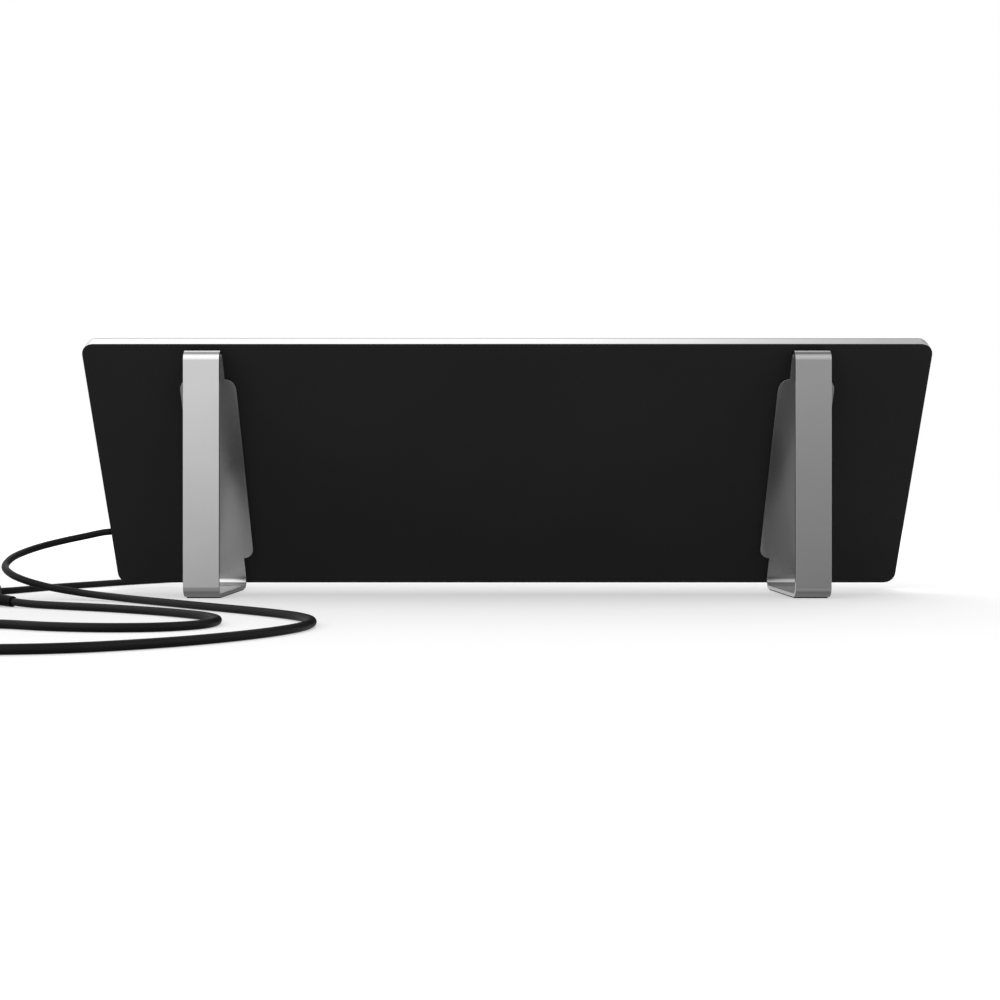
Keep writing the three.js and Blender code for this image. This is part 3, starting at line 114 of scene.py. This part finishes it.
def smooth_line(points):
    """A centripetal Catmull-Rom line through the points, sampled about every ROUTE_STEP."""
    route = [Vector(p) for p in points]
    route = [2 * route[0] - route[1], *route, 2 * route[-1] - route[-2]]
    line = []
    for p0, p1, p2, p3 in zip(route, route[1:], route[2:], route[3:]):
        d0, d1, d2 = (math.sqrt((b - a).length) for a, b in ((p0, p1), (p1, p2), (p2, p3)))
        t1 = ((p1 - p0) / d0 - (p2 - p0) / (d0 + d1) + (p2 - p1) / d1) * d1
        t2 = ((p2 - p1) / d1 - (p3 - p1) / (d1 + d2) + (p3 - p2) / d2) * d1
        count = max(LEAST_STEPS, round((p2 - p1).length / ROUTE_STEP))
        for k in range(count):
            t = k / count
            a = 2 * t**3 - 3 * t**2 + 1
            b = t**3 - 2 * t**2 + t
            c = -2 * t**3 + 3 * t**2
            d = t**3 - t**2
            line.append(p1 * a + t1 * b + p2 * c + t2 * d)
    line.append(route[-2])
    return line


def coil_line():
    """Inwards on the floor layer, up through half a turn, and outwards on the next layer."""
    count = round(COIL_STEPS_PER_TURN * COIL_SWEEP / FULL_TURN)
    line = []
    for k in range(count + 1):
        sweep = COIL_SWEEP * k / count
        inwards = min(sweep, COIL_SWEEP - sweep)
        radius = COIL_OUTER - COIL_PITCH * inwards / FULL_TURN
        climb = min(max((sweep - COIL_SWEEP / 2) / math.pi + 0.5, 0), 1)
        line.append(Vector((
            COIL_CENTRE[0] + radius * math.cos(COIL_START + sweep),
            COIL_CENTRE[1] + radius * math.sin(COIL_START + sweep),
            COIL_LIFT + COIL_PITCH * climb,
        )))
    return line


def cord_rings(made, line):
    """Rings of vertices round the line, turned as little as possible on its way."""
    rings = []
    side = None
    for i, centre in enumerate(line):
        ahead = (line[min(i + 1, len(line) - 1)] - line[max(i - 1, 0)]).normalized()
        side = ahead.cross(Vector((0, 0, 1))) if side is None else side - ahead * side.dot(ahead)
        side.normalize()
        top = side.cross(ahead)
        ring = []
        for k in range(CORD_SIDES):
            angle = FULL_TURN * k / CORD_SIDES
            out = side * math.cos(angle) + top * math.sin(angle)
            ring.append(made.verts.new((centre + out * (CORD_DIAMETER / 2)) * MM))
        rings.append(ring)
    return rings


def cord_piece(name, line, replaced):
    """A round tube with smooth shading round the line."""
    made = bmesh.new()
    rings = cord_rings(made, line)
    for ring, after in zip(rings, rings[1:]):
        for k in range(CORD_SIDES):
            j = (k + 1) % CORD_SIDES
            made.faces.new((ring[k], ring[j], after[j], after[k]))
    made.faces.new(list(reversed(rings[0])))
    made.faces.new(rings[-1])
    bmesh.ops.recalc_face_normals(made, faces=made.faces)
    mesh = bpy.data.meshes.new(name)
    made.to_mesh(mesh)
    made.free()
    mesh.shade_smooth()
    piece = add_object(name, mesh)
    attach(piece, "heater")
    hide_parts(*replaced)
    piece.visible_glossy = False  # the photograph shows no cord in the legs' metal
    return piece


first_line = smooth_line(FIRST_ROUTE)
second_line = smooth_line(SECOND_ROUTE) + coil_line() + smooth_line(TAIL_ROUTE)
first_lead = cord_piece("lead_from_panel", first_line, ["lead_to_switch"])
second_lead = cord_piece(
    "lead_to_plug", second_line, ["lead_to_coil", "cord_coil", "plug_tail"]
)

# Materials: tones are screen values from 0 to 255, and noise scales count features per metre
NOISE_RANGE = (0.3, 0.7)  # the part of a noise that a change of colour or roughness covers
EVEN_NOISE = 0.5
BUMP_STRENGTH = 1.0


def linear(value):
    """A screen value from 0 to 255 as a linear one."""
    share = value / 255
    return share / 12.92 if share <= 0.04045 else ((share + 0.055) / 1.055) ** 2.4


def tone(red, green=None, blue=None):
    values = (red, red if green is None else green, red if blue is None else blue)
    return (*(linear(v) for v in values), 1)


def connect(tree, value, socket):
    """Links a socket to another, or sets it to a value."""
    if isinstance(value, bpy.types.NodeSocket):
        tree.links.new(value, socket)
    else:
        socket.default_value = value


def maths(tree, operation, *values):
    """A maths node on numbers and sockets."""
    made = tree.nodes.new("ShaderNodeMath")
    made.operation = operation
    for socket, value in zip(made.inputs, values):
        connect(tree, value, socket)
    return made.outputs[0]


def ranged(tree, value, start, end, low=0.0, high=1.0, smooth=True):
    """A step from low at the start to high at the end, smooth or straight."""
    made = tree.nodes.new("ShaderNodeMapRange")
    made.interpolation_type = "SMOOTHSTEP" if smooth else "LINEAR"
    for name, level in (("From Min", start), ("From Max", end), ("To Min", low), ("To Max", high)):
        made.inputs[name].default_value = level
    tree.links.new(value, made.inputs["Value"])
    return made.outputs["Result"]


class Finish:
    """A material with its principled shader, and short ways to add detail to it."""

    def __init__(self, name, colour, roughness, metallic=0.0, specular=0.5):
        self.material = bpy.data.materials.new(name)
        self.material.use_nodes = True
        self.tree = self.material.node_tree
        self.shader = self.tree.nodes["Principled BSDF"]
        self.set("Base Color", colour)
        self.set("Roughness", roughness)
        self.set("Metallic", metallic)
        self.set("Specular IOR Level", specular)
        self.coordinates = self.tree.nodes.new("ShaderNodeTexCoord").outputs["Object"]

    def set(self, socket, value):
        connect(self.tree, value, self.shader.inputs[socket])

    def node(self, kind, **inputs):
        made = self.tree.nodes.new(kind)
        for name, value in inputs.items():
            connect(self.tree, value, made.inputs[name])
        return made

    def noise(self, scale, detail, stretch=None, roughness=EVEN_NOISE):
        place = self.coordinates
        if stretch is not None:
            place = self.node("ShaderNodeMapping", Vector=place, Scale=stretch).outputs["Vector"]
        made = self.node(
            "ShaderNodeTexNoise", Vector=place, Scale=scale, Detail=detail, Roughness=roughness
        )
        return made.outputs["Fac"]

    def vary_colour(self, value, low, high):
        ramp = self.tree.nodes.new("ShaderNodeValToRGB")
        for element, place, colour in zip(ramp.color_ramp.elements, NOISE_RANGE, (low, high)):
            element.position = place
            element.color = colour
        self.tree.links.new(value, ramp.inputs["Fac"])
        self.set("Base Color", ramp.outputs["Color"])

    def vary_roughness(self, value, low, high):
        self.set("Roughness", ranged(self.tree, value, *NOISE_RANGE, low, high, smooth=False))

    def bump(self, value, depth):
        """Raises the surface by a depth in millimetres where the value is high."""
        made = self.node(
            "ShaderNodeBump", Height=value, Strength=BUMP_STRENGTH, Distance=depth * MM
        )
        self.set("Normal", made.outputs["Normal"])


def satin_metal(name, low, high, roughness):
    made = Finish(name, tone(high), roughness, metallic=1.0)
    grain = made.noise(scale=900, detail=3, roughness=0.6)
    cloud = made.noise(scale=14, detail=2)
    made.vary_colour(cloud, tone(low), tone(high))
    made.vary_roughness(grain, roughness - 0.04, roughness + 0.05)
    made.bump(grain, depth=0.004)
    return made


# Painted shade: the thin dark line along the front edge of the frame, for the shadowed gap where
# the frame meets the glass, as depths through the leaning panel
LEAN = math.radians(30)
LEAN_NORMAL = (0.0, math.cos(LEAN), math.sin(LEAN))
FRAME_FRONT = 57.47  # from the origin to the frame's front face, along that normal
LINE_START = 0.05
LINE_END = 1.1
GAP_SHADE_TONE = 24
MIX_COLOUR_INPUTS = (6, 7)  # the sockets of a Mix node that is set to colour
MIX_COLOUR_OUTPUT = 2


def gap_shade_line(made):
    """Paints a dark shade line, without metal or sheen, on the frame's outer wall close to its
    front edge.
    """
    depth = made.tree.nodes.new("ShaderNodeVectorMath")
    depth.operation = "DOT_PRODUCT"
    made.tree.links.new(made.coordinates, depth.inputs[0])
    depth.inputs[1].default_value = LEAN_NORMAL
    middle = (FRAME_FRONT - (LINE_START + LINE_END) / 2) * MM
    reach = (LINE_END - LINE_START) / 2 * MM
    gap_shade_mask = maths(made.tree, "COMPARE", depth.outputs["Value"], middle, reach)
    plain = made.shader.inputs["Base Color"].links[0].from_socket
    gap_shaded = made.tree.nodes.new("ShaderNodeMix")
    gap_shaded.data_type = "RGBA"
    made.tree.links.new(gap_shade_mask, gap_shaded.inputs["Factor"])
    for socket, colour in zip(MIX_COLOUR_INPUTS, (plain, tone(GAP_SHADE_TONE))):
        connect(made.tree, colour, gap_shaded.inputs[socket])
    made.set("Base Color", gap_shaded.outputs[MIX_COLOUR_OUTPUT])
    outside = maths(made.tree, "SUBTRACT", 1.0, gap_shade_mask)
    made.set("Metallic", outside)
    made.set("Specular IOR Level", outside)
    return made


def powder_coat(name, low, high):
    made = Finish(name, tone(high), roughness=0.62, specular=0.14)
    pebble = made.noise(scale=1500, detail=2)
    cloud = made.noise(scale=9, detail=3)
    made.vary_colour(cloud, tone(low), tone(high))
    made.vary_roughness(pebble, 0.56, 0.7)
    made.bump(pebble, depth=0.012)
    return made


def moulded(name, low, high, roughness, grain_depth=0.01, specular=0.4):
    made = Finish(name, tone(high), roughness, specular=specular)
    grain = made.noise(scale=1800, detail=2)
    cloud = made.noise(scale=40, detail=2)
    made.vary_colour(cloud, tone(low), tone(high))
    made.vary_roughness(grain, roughness - 0.05, roughness + 0.08)
    made.bump(grain, depth=grain_depth)
    return made


def white_glass():
    made = Finish("white_glass", tone(238, 239, 239), roughness=0.06)
    made.set("Coat Weight", 1.0)
    made.set("Coat Roughness", 0.02)
    made.set("Coat IOR", 1.52)
    cloud = made.noise(scale=3, detail=2)
    made.vary_colour(cloud, tone(233, 235, 235), tone(240, 241, 241))
    made.bump(made.noise(scale=12, detail=2), depth=0.01)
    return made


def cord_sheath():
    made = Finish("cord_sheath", tone(25), roughness=0.45, specular=0.09)
    grain = made.noise(scale=700, detail=3)
    made.vary_colour(made.noise(scale=30, detail=2), tone(21), tone(25))
    made.vary_roughness(grain, 0.4, 0.5)
    made.bump(grain, depth=0.01)
    return made


def plain_metal(name, low, high, roughness):
    made = Finish(name, high, roughness, metallic=1.0)
    grain = made.noise(scale=600, detail=3)
    made.vary_colour(grain, low, high)
    made.vary_roughness(grain, roughness - 0.06, roughness + 0.08)
    made.bump(grain, depth=0.004)
    return made


def fibre_board():
    made = Finish("board", tone(226, 223, 211), roughness=0.95, specular=0.1)
    fibre = made.noise(scale=500, detail=4, stretch=(1, 0.3, 1))
    made.vary_colour(fibre, tone(212, 208, 194), tone(232, 229, 218))
    made.bump(fibre, depth=0.15)
    return made


def wire_sheath(name, low, high):
    made = Finish(name, high, roughness=0.45)
    grain = made.noise(scale=900, detail=2)
    made.vary_colour(grain, low, high)
    made.bump(grain, depth=0.01)
    return made


finishes = {
    "glass_face": white_glass(),
    # the frame's finish carries the painted shade line along its front edge
    "frame_metal": gap_shade_line(satin_metal("frame_metal", low=216, high=222, roughness=0.16)),
    "leg_metal": satin_metal("leg_metal", low=196, high=203, roughness=0.19),
    "cover_metal": powder_coat("cover_metal", low=33, high=36),
    "seal": moulded("seal", low=100, high=112, roughness=0.75),
    "carrier": moulded("carrier", low=200, high=214, roughness=0.7),
    "track": plain_metal("track", tone(176, 106, 74), tone(192, 122, 86), roughness=0.32),
    "foil": plain_metal("foil", tone(214, 216, 218), tone(226, 228, 230), roughness=0.2),
    "board": fibre_board(),
    "screw_steel": plain_metal("screw_steel", tone(160), tone(178), roughness=0.34),
    "dark_plastic": moulded("dark_plastic", low=26, high=31, roughness=0.5),
    "block_ceramic": moulded("block_ceramic", low=226, high=236, roughness=0.4),
    "switch_plastic": moulded(
        "switch_plastic", low=14, high=17, roughness=0.36, grain_depth=0.02, specular=0.15
    ),
    "plug_plastic": moulded("plug_plastic", low=22, high=26, roughness=0.4, grain_depth=0.02),
    "contact_brass": plain_metal(
        "contact_brass", tone(186, 150, 78), tone(206, 170, 94), roughness=0.25
    ),
    "pin_brass": plain_metal(
        "pin_brass", tone(196, 192, 180), tone(212, 209, 198), roughness=0.22
    ),
    "rubber": moulded(
        "rubber", low=9, high=11, roughness=0.5, grain_depth=0.015, specular=0.06
    ),
    "cord_sheath": cord_sheath(),
    "brown_wire": wire_sheath("brown_wire", tone(96, 58, 34), tone(112, 70, 42)),
    "blue_wire": wire_sheath("blue_wire", tone(36, 84, 150), tone(46, 98, 168)),
}

# Rounded edges of the pieces, in millimetres
EDGE_ROUNDING = {
    "left_leg_strap": 0.3, "right_leg_strap": 0.3, "panel_frame": 0.3, "back_cover": 0.12,
    "switch_base": 0.3, "switch_cover": 0.3, "switch_rocker": 0.25,
    "plug_body": 0.3, "front_glass": 0.15, "terminal_block": 0.25, "coil_tie": 0.2,
    "switch_sleeve_1": 0.25, "switch_sleeve_2": 0.25, "plug_sleeve": 0.2,
}
PLAIN_EDGE = 0.08
EDGE_SEGMENTS = 3
EDGE_ANGLE = math.radians(32)
WELD_REACH = 0.01
LARGE_FACE_WEIGHT = 100


def dress_edges(node, width):
    """Small rounded edges, and shading that keeps the flat faces flat."""
    weld = node.modifiers.new("weld", "WELD")
    weld.merge_threshold = WELD_REACH * MM
    bevel = node.modifiers.new("edges", "BEVEL")
    bevel.width = width * MM
    bevel.segments = EDGE_SEGMENTS
    bevel.limit_method = "ANGLE"
    bevel.angle_limit = EDGE_ANGLE
    bevel.use_clamp_overlap = True
    shading = node.modifiers.new("shading", "WEIGHTED_NORMAL")
    shading.mode = "FACE_AREA_WITH_ANGLE"
    shading.weight = LARGE_FACE_WEIGHT
    shading.keep_sharp = False


for part in frame["record"]["subparts"]:
    node = nodes[part["node"]]
    node.data.materials.clear()
    node.data.materials.append(finishes[part["material_slot"]].material)
    node.data.shade_smooth()
    dress_edges(node, EDGE_ROUNDING.get(part["node"], PLAIN_EDGE))
for lead in (first_lead, second_lead):
    lead.data.materials.append(finishes["cord_sheath"].material)

# Floor, in metres: a pale one that shows brighter to the camera than its own shading is
FLOOR_SIZE = 12.0
FLOOR_TONE = 0.7
NEAR_LIFT = 0.4
FAR_LIFT = 0.7
LIFT_REACH = (0.45, 1.5)
# Painted light under the panel's lower edge, where light reaches in, and a painted soft shade
# ahead of it, for camera rays only
PAINTED_UNDER_LIGHT = 0.17
UNDER_START = (-0.02, 0.035)
UNDER_END = (0.045, 0.065)
PAINTED_FRONT_SHADE = 0.14
SHADE_START = (0.04, 0.062)
SHADE_END = (0.15, 0.5)
PANEL_END = (0.26, 0.42)
WHITE = (1, 1, 1, 1)


def floor_material():
    """A floor that keeps the lamps' shadows near the heater, adds painted light under the panel's
    lower edge and painted shade ahead of it, and runs out to white far from it.
    """
    made = bpy.data.materials.new("floor")
    made.use_nodes = True
    tree = made.node_tree
    tree.nodes.clear()
    plain = tree.nodes.new("ShaderNodeBsdfDiffuse")
    plain.inputs["Color"].default_value = (FLOOR_TONE, FLOOR_TONE, FLOOR_TONE, 1)
    place = tree.nodes.new("ShaderNodeTexCoord").outputs["Object"]
    reach = tree.nodes.new("ShaderNodeVectorMath")
    reach.operation = "LENGTH"
    tree.links.new(place, reach.inputs[0])
    spread = ranged(tree, reach.outputs["Value"], *LIFT_REACH, NEAR_LIFT, FAR_LIFT)
    split = tree.nodes.new("ShaderNodeSeparateXYZ")
    tree.links.new(place, split.inputs[0])
    along, across, _ = split.outputs

    def band(start, end, level):
        """A level across the floor that comes in over the start and goes out over the end."""
        rise = ranged(tree, across, *start, 0.0, level)
        return maths(tree, "MULTIPLY", rise, ranged(tree, across, *end, 1.0, 0.0))

    # painted light and painted shade, in bands across the floor beside the panel, seen by the
    # camera only
    painted_light_band = band(UNDER_START, UNDER_END, PAINTED_UNDER_LIGHT)
    painted_shade_band = band(SHADE_START, SHADE_END, PAINTED_FRONT_SHADE)
    beside = ranged(tree, maths(tree, "ABSOLUTE", along), *PANEL_END, 1.0, 0.0)
    painted_light_and_shade = maths(tree, "MULTIPLY", maths(tree, "SUBTRACT", painted_light_band, painted_shade_band), beside)
    seen = tree.nodes.new("ShaderNodeLightPath").outputs["Is Camera Ray"]
    lift = tree.nodes.new("ShaderNodeEmission")
    lift.inputs["Color"].default_value = WHITE
    strength = maths(tree, "MULTIPLY", seen, maths(tree, "ADD", spread, painted_light_and_shade))
    tree.links.new(strength, lift.inputs["Strength"])
    both = tree.nodes.new("ShaderNodeAddShader")
    tree.links.new(plain.outputs[0], both.inputs[0])
    tree.links.new(lift.outputs[0], both.inputs[1])
    out = tree.nodes.new("ShaderNodeOutputMaterial")
    tree.links.new(both.outputs[0], out.inputs["Surface"])
    return made


half = FLOOR_SIZE / 2
floor_mesh = bpy.data.meshes.new("floor")
floor_mesh.from_pydata(
    [(-half, -half, 0), (half, -half, 0), (half, half, 0), (-half, half, 0)], [], [(0, 1, 2, 3)]
)
floor_mesh.materials.append(floor_material())
floor = add_object("floor", floor_mesh)
floor.visible_glossy = False

# What the metal mirrors, as (place from -1 to 1, brightness), behind the camera and ahead of it
BEHIND_BY_HEIGHT = [
    (-1.0, 0.22), (-0.85, 0.2), (-0.7, 0.35), (-0.3, 0.37), (-0.1, 0.43), (-0.06, 0.54),
    (0.03, 0.8), (0.11, 0.98), (0.18, 1.25), (0.37, 1.5), (0.7, 1.75), (0.84, 1.55),
    (0.92, 0.95), (0.97, 0.4), (1.0, 0.35),
]
BEHIND_BY_SIDE = [
    (-1.0, 1.6), (-0.6, 1.4), (-0.4, 1.12), (-0.15, 1.12), (0.0, 0.8), (0.15, 0.48), (0.35, 0.5),
    (0.6, 1.2), (1.0, 1.6),
]
AHEAD_BY_HEIGHT = [
    (-1.0, 0.24), (-0.5, 0.24), (-0.25, 0.9), (0.1, 0.9), (0.6, 1.15), (0.7, 1.5), (0.82, 1.5),
    (0.89, 1.12), (0.95, 0.7), (0.985, 0.38), (1.0, 0.35),
]
AHEAD_BY_SIDE = [
    (-1.0, 1.0), (0.0, 1.0), (0.07, 0.89), (0.144, 0.75), (0.2, 0.6), (0.27, 0.43), (1.0, 0.35),
]
LOW_AHEAD_BY_SIDE = [
    (-1.0, 1.0), (-0.4, 0.7), (-0.1, 0.66), (0.1, 0.3), (0.18, 0.13), (0.27, 0.13), (0.6, 0.8),
    (1.0, 1.0),
]
RAMP_TOP = 2.0  # the brightness that a ramp's white stands for
SIDE_HEIGHTS = (-0.35, -0.08)  # below the first, the sides don't matter
HIGH_HEIGHTS = (0.1, 0.5)  # from the low side table to the high one
TURN_AHEAD = (-0.2, 0.3)  # from what is behind to what is ahead
ROOM_STRENGTH = 0.62
# A second mirror, metal seen in metal, shows the room dimmer, by height
SECOND_MIRROR_DEPTH = 3.0
DEPTH_MARGIN = 0.5
SECOND_MIRROR_LOW = 0.86
SECOND_MIRROR_HIGH = 0.45
SECOND_MIRROR_HEIGHTS = (-0.5, 0.2)


def mirrored_room(tree, path):
    """The graded room that reflections show, by the direction that they look in."""

    def mixed(factor, first, second):
        made = tree.nodes.new("ShaderNodeMix")
        for name, value in (("Factor", factor), ("A", first), ("B", second)):
            connect(tree, value, made.inputs[name])
        return made.outputs["Result"]

    def graded(value, stops):
        """Brightness by place, through a ramp from -1 to 1."""
        made = tree.nodes.new("ShaderNodeValToRGB")
        ramp = made.color_ramp
        while len(ramp.elements) < len(stops):
            ramp.elements.new(0.5)
        for element, (place, level) in zip(ramp.elements, stops):
            element.position = (place + 1) / 2
            element.color = (level / RAMP_TOP, level / RAMP_TOP, level / RAMP_TOP, 1)
        tree.links.new(maths(tree, "MULTIPLY_ADD", value, 0.5, 0.5), made.inputs["Fac"])
        return maths(tree, "MULTIPLY", made.outputs["Color"], RAMP_TOP)

    ray = tree.nodes.new("ShaderNodeTexCoord")
    parts = tree.nodes.new("ShaderNodeSeparateXYZ")
    tree.links.new(ray.outputs["Generated"], parts.inputs[0])
    side, depth, height = parts.outputs
    sides_count = ranged(tree, height, *SIDE_HEIGHTS, smooth=False)
    high = ranged(tree, height, *HIGH_HEIGHTS, smooth=False)
    behind_side = mixed(sides_count, 1.0, graded(side, BEHIND_BY_SIDE))
    low_side = mixed(sides_count, 1.0, graded(side, LOW_AHEAD_BY_SIDE))
    ahead_side = mixed(high, low_side, graded(side, AHEAD_BY_SIDE))
    behind = maths(tree, "MULTIPLY", graded(height, BEHIND_BY_HEIGHT), behind_side)
    ahead = maths(tree, "MULTIPLY", graded(height, AHEAD_BY_HEIGHT), ahead_side)
    room = mixed(ranged(tree, depth, *TURN_AHEAD), behind, ahead)
    second = maths(
        tree, "COMPARE", path.outputs["Ray Depth"], SECOND_MIRROR_DEPTH, DEPTH_MARGIN
    )
    dimming = ranged(
        tree, height, *SECOND_MIRROR_HEIGHTS, 1.0 - SECOND_MIRROR_LOW, 1.0 - SECOND_MIRROR_HIGH
    )
    dimmed = maths(tree, "SUBTRACT", 1.0, maths(tree, "MULTIPLY", second, dimming))
    return maths(tree, "MULTIPLY", room, dimmed)


def studio_world():
    """White to the camera, an even room for the light, and a graded room for reflections."""
    world = bpy.data.worlds.new("studio")
    world.use_nodes = True
    tree = world.node_tree
    tree.nodes.clear()
    path = tree.nodes.new("ShaderNodeLightPath")

    def background(strength):
        made = tree.nodes.new("ShaderNodeBackground")
        made.inputs["Color"].default_value = WHITE
        connect(tree, strength, made.inputs["Strength"])
        return made.outputs[0]

    def choose(switch, without, with_it):
        made = tree.nodes.new("ShaderNodeMixShader")
        for socket, value in zip(made.inputs, (path.outputs[switch], without, with_it)):
            tree.links.new(value, socket)
        return made.outputs[0]

    mirrored = background(mirrored_room(tree, path))
    room = choose("Is Glossy Ray", background(ROOM_STRENGTH), mirrored)
    out = tree.nodes.new("ShaderNodeOutputWorld")
    tree.links.new(choose("Is Camera Ray", room, background(1.0)), out.inputs["Surface"])
    return world


scene.world = studio_world()

# Lights, in metres and watts
ON_FLOOR = (0, 0, 0)
ON_LEGS = (0, 0, 0.08)
LIGHTS = {
    "overhead": {"place": (0.2, 0.9, 1.7), "aim": ON_FLOOR, "size": (2.4, 2.0), "power": 9},
    "ahead": {"place": (0.6, 1.9, 1.3), "aim": ON_FLOOR, "size": (2.0, 1.2), "power": 16},
    "left_back": {"place": (-1.3, -1.6, 0.9), "aim": ON_LEGS, "size": (1.2, 1.2), "power": 4},
    "low_back": {"place": (0.2, -1.9, 0.3), "aim": ON_LEGS, "size": (1.8, 0.5), "power": 5},
}


def soft_light(name, place, aim, size, power):
    """An even oblong light that the metal doesn't mirror."""
    data = bpy.data.lights.new(name, "AREA")
    data.shape = "RECTANGLE"
    data.size, data.size_y = size
    data.energy = power
    made = add_object(name, data)
    made.location = place
    made.rotation_euler = (Vector(aim) - Vector(place)).to_track_quat("-Z", "Y").to_euler()
    made.visible_glossy = False


for name, light in LIGHTS.items():
    soft_light(name, **light)

scene.view_settings.view_transform = "Standard"
